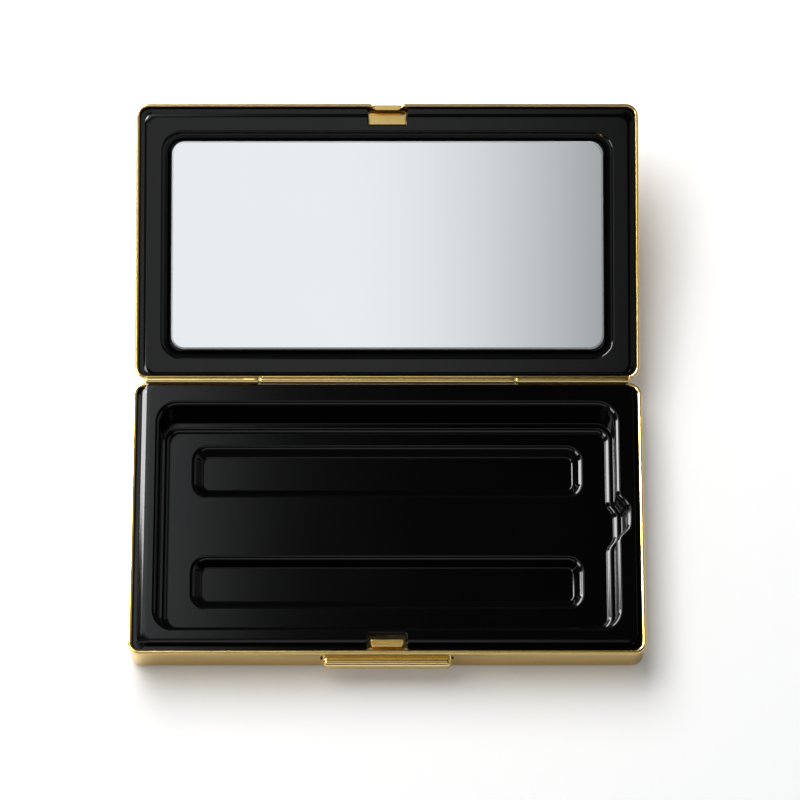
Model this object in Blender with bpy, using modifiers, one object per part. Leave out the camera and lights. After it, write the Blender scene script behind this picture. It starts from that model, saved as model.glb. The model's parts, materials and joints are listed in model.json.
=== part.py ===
# Makeup compact: a flat hinged case with a mirror in its lid and a stepped tray in its base.
# Metres, +Z up, +Y to the hinge, origin at the centre of the base's underside, lid standing open.

import math

import bmesh
import bpy
from mathutils import Vector

# Outer sizes
BASE_WIDTH = 0.1200
BASE_DEPTH = 0.0662
BASE_HEIGHT = 0.0125
LID_HEIGHT = 0.0055
LID_STEP_BACK = 0.0004
LID_OPENING_DEG = 167.0
CORNER_RADIUS = 0.0030
EDGE_RADIUS = 0.0016
BASE_SHEET = 0.0008
LID_SHEET = 0.0006
BEAD_PROUD = 0.00015
BEAD_HEIGHT = 0.0010
BEAD_ROUNDING = 0.00004
LIP_ROUNDING = 0.0003

# Gaps between pieces
SEAT_GAP = 0.0002
SEAM_GAP = 0.0003
RUNNING_GAP = 0.00008

# Hinge
BARREL_RADIUS = 0.00085
PIN_RADIUS = 0.00042
HINGE_SET_BACK = 0.00035
CENTRE_KNUCKLE_LENGTH = 0.0601
KNUCKLE_GAP = 0.0003
KNUCKLE_BEVEL = 0.00025
BARREL_CLEARANCE = 0.0005
SADDLE_DEPTH = 0.0006

# Liners of both halves
LINER_SHEET = 0.0005
LINER_DROP = 0.0003
LINER_EDGE_RADIUS = 0.0006
LINER_CORNER_RADIUS = 0.0021
LINER_SKIRT = 0.0016
FLARE_GAP = 0.00022
SIDE_GROOVE = 0.00105
FRONT_GROOVE = 0.00160
LID_SIDE_GROOVE = 0.00120
LINER_REAR_GAP = 0.0003
LID_LINER_REAR_GAP = 0.0008

# Tray in the base liner
FRAME_SIDE = 0.0045
FRAME_FRONT = 0.00397
FRAME_REAR = 0.0044
TRAY_CORNER_RADIUS = 0.0042
TRAY_DEPTH = 0.0080
LEDGE_DEPTH = 0.0069
WALL_RUN = 0.00035
REAR_WALL_RUN = 0.00164
LEDGE_WIDTH = 0.00137
STEP_RUN = 0.000635
REAR_RUN_RATIO = 1.5
REAR_TRIM_DEPTH = 0.0004
RIM_RADIUS = 0.0011
WALL_FOOT_RADIUS = 0.00045
LEDGE_RADIUS = 0.00147
STEP_FOOT_RADIUS = 0.00015
FORM_RADIUS = 0.0004

# Finger notch in the tray's right wall
NOTCH_CENTRE = 0.0003
NOTCH_HALF_LENGTH = 0.0060
NOTCH_LEDGE_HALF_LENGTH = 0.0052
NOTCH_BLEND = 0.0030
NOTCH_REACH = 0.0026
NOTCH_LEDGE_REACH = 0.0017

# Long pockets in the tray floor
POCKET_END_MARGIN = 0.005545
POCKET_FRONT_MARGIN = 0.004575
POCKET_REAR_MARGIN = 0.0036
POCKET_RIB = 0.0153
POCKET_DEPTH = 0.0020
POCKET_SLOPE_DEG = 47.0
POCKET_RADIUS = 0.0024
POCKET_FLOOR_RADIUS = 0.0014
POCKET_EDGE_RADIUS = 0.00165
POCKET_FOOT_RADIUS = 0.0008

# Mirror and its recess in the lid liner
LID_FRAME_SIDE = 0.00425
LID_FRAME_FRONT = 0.0043
LID_FRAME_REAR = 0.00375
MIRROR_THICKNESS = 0.0010
MIRROR_CORNER_RADIUS = 0.0032
MIRROR_CHAMFER = 0.00025
MIRROR_CHAMFER_RUN = 0.00035
MIRROR_MARGIN = 0.0004
RECESS_DEPTH = 0.0022
RECESS_RUN = 0.0018
RECESS_CORNER_RADIUS = 0.0046
RECESS_EDGE_RADIUS = 0.0007

# Adhesive pads
PAD_SIDE_MARGIN = 0.0035
PAD_END_MARGIN = 0.0061
LID_PAD_WIDTH = 0.0080
LID_PAD_INSET = 0.01085
MIRROR_TAPE = 0.0002
MIRROR_TAPE_MARGIN = 0.0030

# Latch: thumb bar and hook in the base
BAR_LENGTH = 0.0298
BAR_HEIGHT = 0.0039
BAR_PROUD = 0.0021
BAR_DROP = 0.0031
BAR_ROUNDING = 0.0009
SLOT_END_GAP = 0.0006
SLOT_SIDE_GAP = 0.0003
FLANGE_OVERLAP = 0.0011
FLANGE_TOP_OVERLAP = 0.0003
FLANGE_THICKNESS = 0.0011
LATCH_TRAVEL = 0.0009
HOOK_WIDTH = 0.0075
HOOK_SHEET = 0.0005
HOOK_DROP = 0.0005
HOOK_ENGAGEMENT = 0.00044
HOOK_TAPER = 0.0007
RIDGE_REACH = 0.00065
RIDGE_HEIGHT = 0.0007
RIDGE_WIDTH = 0.0007
RIDGE_ROUNDING = 0.0002
CREASE_HALF_WIDTH = 0.0002
CREASE_DEPTH = 0.0002
NOSE_THICKNESS = 0.00075
NOSE_ROUNDING = 0.00025
WINDOW_SIDE_GAP = 0.0009
WINDOW_REAR_GAP = 0.0012
RIVET_RADIUS = 0.00045
RIVET_HEAD_RADIUS = 0.0009
RIVET_HEAD = 0.0003
RIVET_SPACING = 0.0044
SHANK_END = 0.0001

# Latch return springs and the bracket behind them
SPRING_SPACING = 0.0180
SPRING_RADIUS = 0.0011
SPRING_WIRE = 0.0003
SPRING_TURNS = 3.5
SPRING_CLOSED_LENGTH = 0.00155
POST_RADIUS = 0.0006
POST_LENGTH = 0.0017
POST_HEAD_RADIUS = 0.0011
BRACKET_WIDTH = 0.0260
BRACKET_SHEET = 0.0005
BRACKET_FOOT = 0.0035

# Catch in the lid: jogged front lip with a hooked tongue, and the bent strike behind it
DENT_WIDTH = 0.0082
DENT_DEPTH = 0.0014
TONGUE_SHEET = 0.00045
TONGUE_WIDTH = 0.0060
TONGUE_ROOT = 0.00005
TONGUE_HOOK = 0.00035
STRIKE_SHEET = 0.0005
STRIKE_LENGTH = 0.0036
STRIKE_BEND = 0.0009
STRIKE_FOOT = 0.0030
STRIKE_REACH = 0.0006
LID_WINDOW_WIDTH = 0.0088
LID_WINDOW_DEPTH = 0.0026

# Facets
CORNER_STEPS = 6
FILLET_STEPS = 3
ROUND_SIDES = 24
BORE_SIDES = 16
NOTCH_STATIONS = 17
SPRING_STEPS = 12
SHARP_ANGLE_DEG = 35
TIGHTEST_CORNER = 0.0002
WELD = 1e-6

# Places that follow from the sizes above
HINGE_Y = BASE_DEPTH / 2 + HINGE_SET_BACK
HINGE_Z = BASE_HEIGHT + SEAM_GAP / 2
LID_TILT = math.radians(180 - LID_OPENING_DEG)
HINGE_HALF = BASE_WIDTH / 2 - CORNER_RADIUS
RELIEF_DROP = BARREL_RADIUS + BARREL_CLEARANCE

LINER_TOP = BASE_HEIGHT - LINER_DROP
TRAY_FLOOR = LINER_TOP - TRAY_DEPTH
LIP_INSIDE = BEAD_PROUD + BASE_SHEET
LINER_HALF_WIDTH = BASE_WIDTH / 2 - LIP_INSIDE - SIDE_GROOVE
LINER_FRONT = -BASE_DEPTH / 2 + LIP_INSIDE + FRONT_GROOVE
LINER_REAR = HINGE_Y - BARREL_RADIUS - LINER_REAR_GAP
TRAY_HALF_WIDTH = LINER_HALF_WIDTH - FRAME_SIDE
TRAY_FRONT = LINER_FRONT + FRAME_FRONT
TRAY_REAR = LINER_REAR - FRAME_REAR
WALL_TOTAL_RUN = WALL_RUN + LEDGE_WIDTH + STEP_RUN
SIDE_FLARE = SIDE_GROOVE - FLARE_GAP
FRONT_FLARE = FRONT_GROOVE - FLARE_GAP
REAR_FLARE = LINER_SHEET
FLOOR_HALF_WIDTH = TRAY_HALF_WIDTH - WALL_TOTAL_RUN
FLOOR_FRONT = TRAY_FRONT + WALL_TOTAL_RUN
FLOOR_REAR = TRAY_REAR - REAR_WALL_RUN - (LEDGE_WIDTH + STEP_RUN) * REAR_RUN_RATIO
POCKET_LENGTH = 2 * (FLOOR_HALF_WIDTH - POCKET_END_MARGIN)
POCKET_FRONT = FLOOR_FRONT + POCKET_FRONT_MARGIN
POCKET_REAR = FLOOR_REAR - POCKET_REAR_MARGIN
POCKET_WIDTH = (POCKET_REAR - POCKET_FRONT - POCKET_RIB) / 2
POCKET_CENTRES = (POCKET_FRONT + POCKET_WIDTH / 2, POCKET_REAR - POCKET_WIDTH / 2)
PAD_LENGTH = POCKET_LENGTH - 2 * PAD_END_MARGIN
PAD_WIDTH = POCKET_WIDTH - 2 * PAD_SIDE_MARGIN

LID_WIDTH = BASE_WIDTH - 2 * LID_STEP_BACK
LID_DEPTH = BASE_DEPTH - LID_STEP_BACK
LID_FRONT = HINGE_SET_BACK + LID_DEPTH
LID_RIM = -SEAM_GAP / 2
LID_LIP_INSIDE = BEAD_PROUD + LID_SHEET
LID_LINER_TOP = LID_RIM - LINER_DROP
LID_INNER_FLOOR = LID_RIM - LID_HEIGHT + LID_SHEET
RECESS_FLOOR = LID_LINER_TOP - RECESS_DEPTH
LID_LINER_HALF_WIDTH = LID_WIDTH / 2 - LID_LIP_INSIDE - LID_SIDE_GROOVE
LID_LINER_REAR = BARREL_RADIUS + LID_LINER_REAR_GAP
LID_LINER_FRONT = LID_FRONT - LID_LIP_INSIDE - FRONT_GROOVE
LID_SIDE_FLARE = LID_SIDE_GROOVE - FLARE_GAP
LID_REAR_FLARE = LID_LINER_REAR - HINGE_SET_BACK - LID_LIP_INSIDE - FLARE_GAP
RECESS_HALF_WIDTH = LID_LINER_HALF_WIDTH - LID_FRAME_SIDE
RECESS_REAR = LID_LINER_REAR + LID_FRAME_REAR
RECESS_FRONT = LID_LINER_FRONT - LID_FRAME_FRONT
MIRROR_WIDTH = 2 * (RECESS_HALF_WIDTH - RECESS_RUN - MIRROR_MARGIN)
MIRROR_REAR = RECESS_REAR + RECESS_RUN + MIRROR_MARGIN
MIRROR_FRONT = RECESS_FRONT - RECESS_RUN - MIRROR_MARGIN

WALL_FRONT_FACE = -BASE_DEPTH / 2 + BEAD_PROUD
WALL_INNER_FACE = WALL_FRONT_FACE + BASE_SHEET
BAR_TOP = BASE_HEIGHT - BAR_DROP
BAR_CENTRE = BAR_TOP - BAR_HEIGHT / 2
FLANGE_FRONT = WALL_INNER_FACE + SEAT_GAP
FLANGE_BACK = FLANGE_FRONT + FLANGE_THICKNESS
HOOK_FRONT = FLANGE_BACK + SEAT_GAP
HOOK_BACK = HOOK_FRONT + HOOK_SHEET
TONGUE_FRONT = WALL_INNER_FACE + SEAT_GAP
TONGUE_BACK = TONGUE_FRONT + TONGUE_SHEET
NOSE_FRONT = TONGUE_BACK + SEAT_GAP
CATCH_EDGE = NOSE_FRONT + HOOK_ENGAGEMENT
HOOK_TOP = BASE_HEIGHT - HOOK_DROP
NOSE_UNDERSIDE = HOOK_TOP - NOSE_THICKNESS
CATCH_TOP = NOSE_UNDERSIDE - SEAT_GAP
CATCH_BOTTOM = CATCH_TOP - TONGUE_HOOK
SPRING_FRONT = FLANGE_BACK + SEAT_GAP
SPRING_LENGTH = SPRING_CLOSED_LENGTH + LATCH_TRAVEL
SPRING_BACK = SPRING_FRONT + SPRING_LENGTH
BRACKET_FRONT = SPRING_BACK + SEAT_GAP


def clear_scene():
    for thing in list(bpy.data.objects):
        bpy.data.objects.remove(thing, do_unlink=True)


def new_collection(name):
    collection = bpy.data.collections.new(name)
    bpy.context.scene.collection.children.link(collection)
    return collection


def finish(name, colour, metallic, roughness):
    material = bpy.data.materials.new(name)
    material.use_nodes = True
    shader = material.node_tree.nodes["Principled BSDF"]
    shader.inputs["Base Color"].default_value = (*colour, 1.0)
    shader.inputs["Metallic"].default_value = metallic
    shader.inputs["Roughness"].default_value = roughness
    material.diffuse_color = (*colour, 1.0)
    return material


def add_object(name, bm, material, parent=None, collection=None):
    """Turn a bmesh into an object of the compact, shaded smooth across its rounded edges."""
    bm.normal_update()
    if all(edge.is_manifold for edge in bm.edges):
        bmesh.ops.recalc_face_normals(bm, faces=bm.faces)
    mesh = bpy.data.meshes.new(name)
    bm.to_mesh(mesh)
    bm.free()
    mesh.shade_smooth()
    mesh.set_sharp_from_angle(angle=math.radians(SHARP_ANGLE_DEG))
    thing = bpy.data.objects.new(name, mesh)
    if material:
        mesh.materials.append(material)
    (collection or COMPACT).objects.link(thing)
    thing.parent = parent
    return thing


def add_cutter(name, bm, parent=None):
    cutter = add_object(name, bm, None, parent, CUTTERS)
    cutter.hide_render = True
    cutter.display_type = "WIRE"
    return cutter


def boolean(thing, operation, cutter):
    modifier = thing.modifiers.new(cutter.name, "BOOLEAN")
    modifier.operation = operation
    modifier.solver = "EXACT"
    modifier.object = cutter


def box(x0, x1, y0, y1, z0, z1, bm=None):
    """A box between two corners, added to bm where one is given."""
    bm = bm or bmesh.new()
    made = bmesh.ops.create_cube(bm, size=1.0)["verts"]
    bmesh.ops.scale(bm, vec=(x1 - x0, y1 - y0, z1 - z0), verts=made)
    bmesh.ops.translate(bm, vec=((x0 + x1) / 2, (y0 + y1) / 2, (z0 + z1) / 2), verts=made)
    return bm


def round_edges(bm, width, segments, chosen=None):
    edges = [edge for edge in bm.edges if chosen is None or chosen(edge)]
    bmesh.ops.bevel(bm, geom=edges, offset=width, segments=segments, profile=0.5,
                    affect="EDGES", material=-1)
    return bm


def cylinder(axis, start, end, radius, centre, sides, bevel=0.0):
    """A cylinder along X, Y or Z from start to end; centre gives its other two coordinates."""
    bm = bmesh.new()
    bmesh.ops.create_cone(bm, cap_ends=True, segments=sides, radius1=radius, radius2=radius,
                          depth=end - start)
    if bevel:
        round_edges(bm, bevel, 2, lambda edge: abs(edge.verts[0].co.z - edge.verts[1].co.z) < WELD)
    middle = (start + end) / 2
    for vert in bm.verts:
        a, b, c = vert.co
        if axis == "X":
            vert.co = (c + middle, a + centre[0], b + centre[1])
        elif axis == "Y":
            vert.co = (b + centre[0], c + middle, a + centre[1])
        else:
            vert.co = (a + centre[0], b + centre[1], c + middle)
    return bm


def plan(x0, x1, y0, y1, radius, stations=()):
    """A rounded rectangle seen from above, anticlockwise, with extra points on its right side."""
    radius = max(radius, TIGHTEST_CORNER)
    corners = ((x1 - radius, y0 + radius, -90), (x1 - radius, y1 - radius, 0),
               (x0 + radius, y1 - radius, 90), (x0 + radius, y0 + radius, 180))
    points = []
    for index, (centre_x, centre_y, start) in enumerate(corners):
        for step in range(CORNER_STEPS + 1):
            angle = math.radians(start + 90 * step / CORNER_STEPS)
            points.append((centre_x + radius * math.cos(angle), centre_y + radius * math.sin(angle)))
        if index == 0:
            points.extend((x1, y) for y in stations)
    return points


def filleted(corners):
    """A profile as (across, height) points from corners (across, height, radius), arcs included."""
    points = [corners[0][:2]]
    for before, here, after in zip(corners, corners[1:], corners[2:]):
        corner = Vector(here[:2])
        back = (Vector(before[:2]) - corner).normalized()
        ahead = (Vector(after[:2]) - corner).normalized()
        half = back.angle(ahead) / 2
        reach = here[2] / math.tan(half)
        centre = corner + (back + ahead).normalized() * (here[2] / math.sin(half))
        first = corner + back * reach - centre
        turn = (math.pi - 2 * half) * (1 if first.y * back.x > first.x * back.y else -1)
        for step in range(FILLET_STEPS + 1):
            angle = turn * step / FILLET_STEPS
            points.append((centre.x + first.x * math.cos(angle) - first.y * math.sin(angle),
                           centre.y + first.x * math.sin(angle) + first.y * math.cos(angle)))
    points.append(corners[-1][:2])
    return points


def add_ring(bm, points, height):
    return [bm.verts.new((x, y, height)) for x, y in points]


def bridge(bm, rings):
    """Skin successive rings; outwards and upwards, or inwards and downwards, faces look out."""
    for lower, upper in zip(rings, rings[1:]):
        for j in range(len(lower)):
            k = (j + 1) % len(lower)
            bm.faces.new((lower[j], lower[k], upper[k], upper[j]))


def pressed_shell(width, y0, y1, rim, height, sheet):
    """A pressed tray of sheet metal: rounded floor edge, straight walls and a beaded lip."""
    floor = rim - height
    inside = BEAD_PROUD + sheet
    inner_radius = max(EDGE_RADIUS - sheet, sheet / 2)
    corners = (
        (BEAD_PROUD + EDGE_RADIUS + sheet, floor, 0),
        (BEAD_PROUD, floor, EDGE_RADIUS),
        (BEAD_PROUD, rim - BEAD_HEIGHT - BEAD_PROUD, BEAD_ROUNDING),
        (0, rim - BEAD_HEIGHT, BEAD_ROUNDING),
        (0, rim, LIP_ROUNDING),
        (inside, rim, LIP_ROUNDING),
        (inside, floor + sheet, inner_radius),
        (inside + EDGE_RADIUS, floor + sheet, 0),
    )
    bm = bmesh.new()
    rings = []
    for inset, z in filleted(corners):
        points = plan(-width / 2 + inset, width / 2 - inset, y0 + inset, y1 - inset,
                      CORNER_RADIUS - inset)
        rings.append(add_ring(bm, points, z))
    bridge(bm, rings)
    bm.faces.new(reversed(rings[0]))
    bm.faces.new(rings[-1])
    return bm


def base_shell():
    shell = add_object("base_shell", pressed_shell(
        BASE_WIDTH, -BASE_DEPTH / 2, BASE_DEPTH / 2, BASE_HEIGHT, BASE_HEIGHT, BASE_SHEET), GOLD)
    relief = box(-HINGE_HALF - SEAT_GAP, HINGE_HALF + SEAT_GAP,
                 BASE_DEPTH / 2 - 3 * LIP_INSIDE, BASE_DEPTH / 2 + LIP_INSIDE,
                 HINGE_Z - RELIEF_DROP, BASE_HEIGHT + LIP_INSIDE)
    boolean(shell, "DIFFERENCE", add_cutter("base_hinge_relief", relief))
    slot = box(-BAR_LENGTH / 2 - SLOT_END_GAP, BAR_LENGTH / 2 + SLOT_END_GAP,
               WALL_FRONT_FACE - BASE_SHEET, WALL_INNER_FACE + BASE_SHEET,
               BAR_TOP - BAR_HEIGHT - SLOT_SIDE_GAP, BAR_TOP + SLOT_SIDE_GAP)
    round_edges(slot, BAR_ROUNDING, 3,
                lambda edge: abs(edge.verts[0].co.y - edge.verts[1].co.y) > BASE_SHEET)
    boolean(shell, "DIFFERENCE", add_cutter("thumb_bar_slot", slot))


def lid_shell(lid_axis):
    shell = add_object("lid_shell", pressed_shell(
        LID_WIDTH, HINGE_SET_BACK, LID_FRONT, LID_RIM, LID_HEIGHT, LID_SHEET), GOLD, lid_axis)
    relief = box(-HINGE_HALF - SEAT_GAP, HINGE_HALF + SEAT_GAP,
                 HINGE_SET_BACK - LID_LIP_INSIDE, HINGE_SET_BACK + 3 * LID_LIP_INSIDE,
                 -RELIEF_DROP, LID_LIP_INSIDE)
    boolean(shell, "DIFFERENCE", add_cutter("lid_hinge_relief", relief, lid_axis))

    # The front lip jogs inwards over the dent, and the tongue goes on from it into the base.
    dent_face = HINGE_Y - TONGUE_FRONT
    dent_back = HINGE_Y - TONGUE_BACK
    jog = LID_FRONT - dent_face
    block = wedge(DENT_WIDTH / 2, DENT_WIDTH / 2 - jog, LID_FRONT - LID_LIP_INSIDE / 2,
                  dent_back, LID_RIM - DENT_DEPTH - LID_SHEET, LID_RIM)
    boolean(shell, "UNION", add_cutter("dent_block", block, lid_axis))
    hollow = wedge(DENT_WIDTH / 2 + BEAD_PROUD, DENT_WIDTH / 2 - jog - TONGUE_SHEET / 2,
                   LID_FRONT + BEAD_PROUD, dent_face, LID_RIM - DENT_DEPTH, LID_RIM + SEAM_GAP)
    boolean(shell, "DIFFERENCE", add_cutter("dent_hollow", hollow, lid_axis))
    catch_top = HINGE_Z - CATCH_TOP
    tip = HINGE_Z - CATCH_BOTTOM
    outline = ((dent_face - TONGUE_ROOT, LID_RIM - DENT_DEPTH), (dent_face, LID_RIM), (dent_face, tip),
               (HINGE_Y - CATCH_EDGE, tip), (HINGE_Y - CATCH_EDGE, catch_top),
               (dent_back, catch_top), (dent_back + TONGUE_ROOT, LID_RIM - DENT_DEPTH))
    tongue = prism(outline, TONGUE_WIDTH)
    boolean(shell, "UNION", add_cutter("catch_tongue", tongue, lid_axis))


def wedge(half_wide, half_narrow, wide_y, narrow_y, z0, z1):
    """A block whose plan is a trapezoid, wide at wide_y and narrow at narrow_y."""
    bm = box(-1, 1, min(wide_y, narrow_y), max(wide_y, narrow_y), z0, z1)
    for vert in bm.verts:
        half = half_wide if abs(vert.co.y - wide_y) < abs(vert.co.y - narrow_y) else half_narrow
        vert.co.x *= half
    return bm


def prism(outline, width):
    """A side profile of (y, z) points, drawn out along X and centred."""
    bm = bmesh.new()
    face = bm.faces.new([bm.verts.new((-width / 2, y, z)) for y, z in outline])
    drawn = bmesh.ops.extrude_face_region(bm, geom=[face])["geom"]
    moved = [item for item in drawn if isinstance(item, bmesh.types.BMVert)]
    bmesh.ops.translate(bm, vec=(width, 0, 0), verts=moved)
    return bm


def carried(offset, side, edge):
    """An offset from an opening's rim along the sides, carried over to another edge.

    side and edge give the width of the liner's frame there and of the flare beyond it.
    """
    if offset <= 0:
        return offset
    if offset <= side[0]:
        return offset * edge[0] / side[0]
    return edge[0] + (offset - side[0]) * edge[1] / side[1]


def corner_radius(offset, frame, rim_radius):
    """Plan corner radius of a liner at an offset outwards from its opening's rim."""
    if offset > 0:
        return rim_radius + (LINER_CORNER_RADIUS - rim_radius) * min(offset / frame, 1.0)
    return rim_radius + offset


def notch_bulge(y, reach, half_length):
    """How far the right wall stands out at y for the finger notch."""
    ramp = min(max((half_length - abs(y - NOTCH_CENTRE)) / NOTCH_BLEND, 0.0), 1.0)
    return reach * ramp * ramp * (3 - 2 * ramp)


def tray_ring(bm, offset, height, stations):
    """One ring of the base liner, offset from the tray's rim, with its share of the notch."""
    widths = (FRAME_SIDE, SIDE_FLARE)
    front = TRAY_FRONT - carried(offset, widths, (FRAME_FRONT, FRONT_FLARE))
    rear = TRAY_REAR + carried(offset, widths, (FRAME_REAR, REAR_FLARE))
    side = TRAY_HALF_WIDTH + offset
    share = min((LINER_TOP - height) / LEDGE_DEPTH, 1.0)
    if offset < FRAME_SIDE / 2:
        rear -= (REAR_WALL_RUN - WALL_RUN) * share
        rear -= max(-offset - WALL_RUN, 0.0) * (REAR_RUN_RATIO - 1)
        reach = NOTCH_REACH + (NOTCH_LEDGE_REACH - NOTCH_REACH) * share
    else:
        reach = 0.0
    half_length = NOTCH_HALF_LENGTH + (NOTCH_LEDGE_HALF_LENGTH - NOTCH_HALF_LENGTH) * share
    radius = corner_radius(offset, FRAME_SIDE, TRAY_CORNER_RADIUS)
    points = plan(-side, side, front, rear, radius, stations)
    first = CORNER_STEPS + 1
    for index in range(first, first + len(stations)):
        x, y = points[index]
        points[index] = (x + notch_bulge(y, reach, half_length), y)
    return add_ring(bm, points, height)


def pocket_ring(bm, centre_y, inset, run, height):
    radius = POCKET_RADIUS + (POCKET_FLOOR_RADIUS - POCKET_RADIUS) * inset / run
    points = plan(-POCKET_LENGTH / 2 + inset, POCKET_LENGTH / 2 - inset,
                  centre_y - POCKET_WIDTH / 2 + inset, centre_y + POCKET_WIDTH / 2 - inset, radius)
    return add_ring(bm, points, height)


def ring_edges(bm, ring):
    return [bm.edges.get((ring[j], ring[(j + 1) % len(ring)])) for j in range(len(ring))]


def base_liner():
    """The formed liner: frame, stepped tray wall with its finger notch, floor and two pockets."""
    spacing = 2 * NOTCH_HALF_LENGTH / (NOTCH_STATIONS - 1)
    stations = [NOTCH_CENTRE - NOTCH_HALF_LENGTH + spacing * i for i in range(NOTCH_STATIONS)]
    ledge = LINER_TOP - LEDGE_DEPTH
    corners = (
        (FRAME_SIDE + SIDE_FLARE, LINER_TOP - LINER_SKIRT, 0),
        (FRAME_SIDE, LINER_TOP - LINER_SKIRT, FORM_RADIUS),
        (FRAME_SIDE, LINER_TOP, LINER_EDGE_RADIUS),
        (0, LINER_TOP, RIM_RADIUS),
        (-WALL_RUN, ledge, WALL_FOOT_RADIUS),
        (-WALL_RUN - LEDGE_WIDTH, ledge, LEDGE_RADIUS),
        (-WALL_TOTAL_RUN, TRAY_FLOOR, STEP_FOOT_RADIUS),
        (-WALL_TOTAL_RUN - LINER_SHEET, TRAY_FLOOR, 0),
    )
    bm = bmesh.new()
    rings = [tray_ring(bm, offset, z, stations) for offset, z in filleted(corners)]
    bridge(bm, rings)

    run = POCKET_DEPTH / math.tan(math.radians(POCKET_SLOPE_DEG))
    start = POCKET_EDGE_RADIUS * math.tan(math.radians(POCKET_SLOPE_DEG / 2))
    pocket = ((-start, TRAY_FLOOR, 0), (0, TRAY_FLOOR, POCKET_EDGE_RADIUS),
              (run, TRAY_FLOOR - POCKET_DEPTH, POCKET_FOOT_RADIUS),
              (run + LINER_SHEET, TRAY_FLOOR - POCKET_DEPTH, 0))
    edges = ring_edges(bm, rings[-1])
    for centre in POCKET_CENTRES:
        steps = filleted(pocket)[1:]
        pocket_rings = [pocket_ring(bm, centre, inset, run, z) for inset, z in steps]
        bridge(bm, pocket_rings)
        bm.faces.new(pocket_rings[-1])
        edges += ring_edges(bm, pocket_rings[0])
    filled = bmesh.ops.triangle_fill(bm, edges=edges, use_beauty=True)["geom"]
    bm.normal_update()
    for face in filled:
        if isinstance(face, bmesh.types.BMFace) and face.normal.z < 0:
            face.normal_flip()

    liner = add_object("base_liner", bm, BLACK)
    thicken(liner)
    window = box(-HOOK_WIDTH / 2 - WINDOW_SIDE_GAP, HOOK_WIDTH / 2 + WINDOW_SIDE_GAP,
                 LINER_FRONT - FRONT_GROOVE, HOOK_BACK + LATCH_TRAVEL + WINDOW_REAR_GAP,
                 LINER_TOP - 2 * LINER_SKIRT, LINER_TOP + LINER_SHEET)
    boolean(liner, "DIFFERENCE", add_cutter("hook_window", window))

    # Behind the shell's rear corners the skirt is trimmed back, and at the wall nearly to the frame.
    rear = BASE_DEPTH / 2
    corner = rear - CORNER_RADIUS
    wall_inner = rear - LIP_INSIDE - SEAT_GAP
    low = LINER_TOP - 2 * LINER_SKIRT
    skirt_middle = LINER_TOP - LINER_SKIRT / 2
    trim = ((corner, low), (corner, skirt_middle), (wall_inner, skirt_middle),
            (wall_inner, LINER_TOP - REAR_TRIM_DEPTH), (rear, LINER_TOP - REAR_TRIM_DEPTH), (rear, low))
    rear_trim = prism(trim, 2 * (LINER_HALF_WIDTH + SIDE_GROOVE))
    boolean(liner, "DIFFERENCE", add_cutter("liner_rear_trim", rear_trim))


def thicken(liner):
    """Give a formed sheet its wall, on its underside."""
    modifier = liner.modifiers.new("sheet", "SOLIDIFY")
    modifier.thickness = LINER_SHEET
    modifier.offset = -1
    modifier.use_even_offset = True
    modifier.use_quality_normals = True


def lid_liner(lid_axis):
    """The lid's liner: frame, sloped mirror recess and the window over the strike."""
    corners = (
        (LID_FRAME_SIDE + LID_SIDE_FLARE, LID_LINER_TOP - LINER_SKIRT, 0),
        (LID_FRAME_SIDE, LID_LINER_TOP - LINER_SKIRT, FORM_RADIUS),
        (LID_FRAME_SIDE, LID_LINER_TOP, LINER_EDGE_RADIUS),
        (0, LID_LINER_TOP, RECESS_EDGE_RADIUS),
        (-RECESS_RUN, RECESS_FLOOR, FORM_RADIUS),
        (-RECESS_RUN - LINER_SHEET, RECESS_FLOOR, 0),
    )
    widths = (LID_FRAME_SIDE, LID_SIDE_FLARE)
    bm = bmesh.new()
    rings = []
    for offset, z in filleted(corners):
        rear = RECESS_REAR - carried(offset, widths, (LID_FRAME_REAR, LID_REAR_FLARE))
        front = RECESS_FRONT + carried(offset, widths, (LID_FRAME_FRONT, FRONT_FLARE))
        radius = corner_radius(offset, LID_FRAME_SIDE, RECESS_CORNER_RADIUS)
        side = RECESS_HALF_WIDTH + offset
        rings.append(add_ring(bm, plan(-side, side, rear, front, radius), z))
    bridge(bm, rings)
    bm.faces.new(rings[-1])
    liner = add_object("lid_liner", bm, BLACK, lid_axis)
    thicken(liner)
    window = box(-LID_WINDOW_WIDTH / 2, LID_WINDOW_WIDTH / 2,
                 LID_LINER_FRONT - LID_WINDOW_DEPTH, LID_LINER_FRONT + FRONT_GROOVE,
                 LID_LINER_TOP - 2 * LINER_SKIRT, LID_LINER_TOP + LINER_SHEET)
    boolean(liner, "DIFFERENCE", add_cutter("strike_window", window, lid_axis))


def mirror(lid_axis):
    """Glass mirror with a ground edge, on its sheet of tape."""
    tape_bottom = RECESS_FLOOR + SEAT_GAP
    back = tape_bottom + MIRROR_TAPE + SEAT_GAP
    face = back + MIRROR_THICKNESS
    bm = bmesh.new()
    rings = []
    for inset, z in ((0, back), (0, face - MIRROR_CHAMFER), (MIRROR_CHAMFER_RUN, face)):
        points = plan(-MIRROR_WIDTH / 2 + inset, MIRROR_WIDTH / 2 - inset, MIRROR_REAR + inset,
                      MIRROR_FRONT - inset, MIRROR_CORNER_RADIUS - inset)
        rings.append(add_ring(bm, points, z))
    bridge(bm, rings)
    bm.faces.new(reversed(rings[0]))
    bm.faces.new(rings[-1])
    add_object("mirror", bm, MIRROR, lid_axis)
    margin = MIRROR_TAPE_MARGIN
    tape = box(-MIRROR_WIDTH / 2 + margin, MIRROR_WIDTH / 2 - margin, MIRROR_REAR + margin,
               MIRROR_FRONT - margin, tape_bottom, tape_bottom + MIRROR_TAPE)
    add_object("mirror_tape", tape, FOAM, lid_axis)


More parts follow.
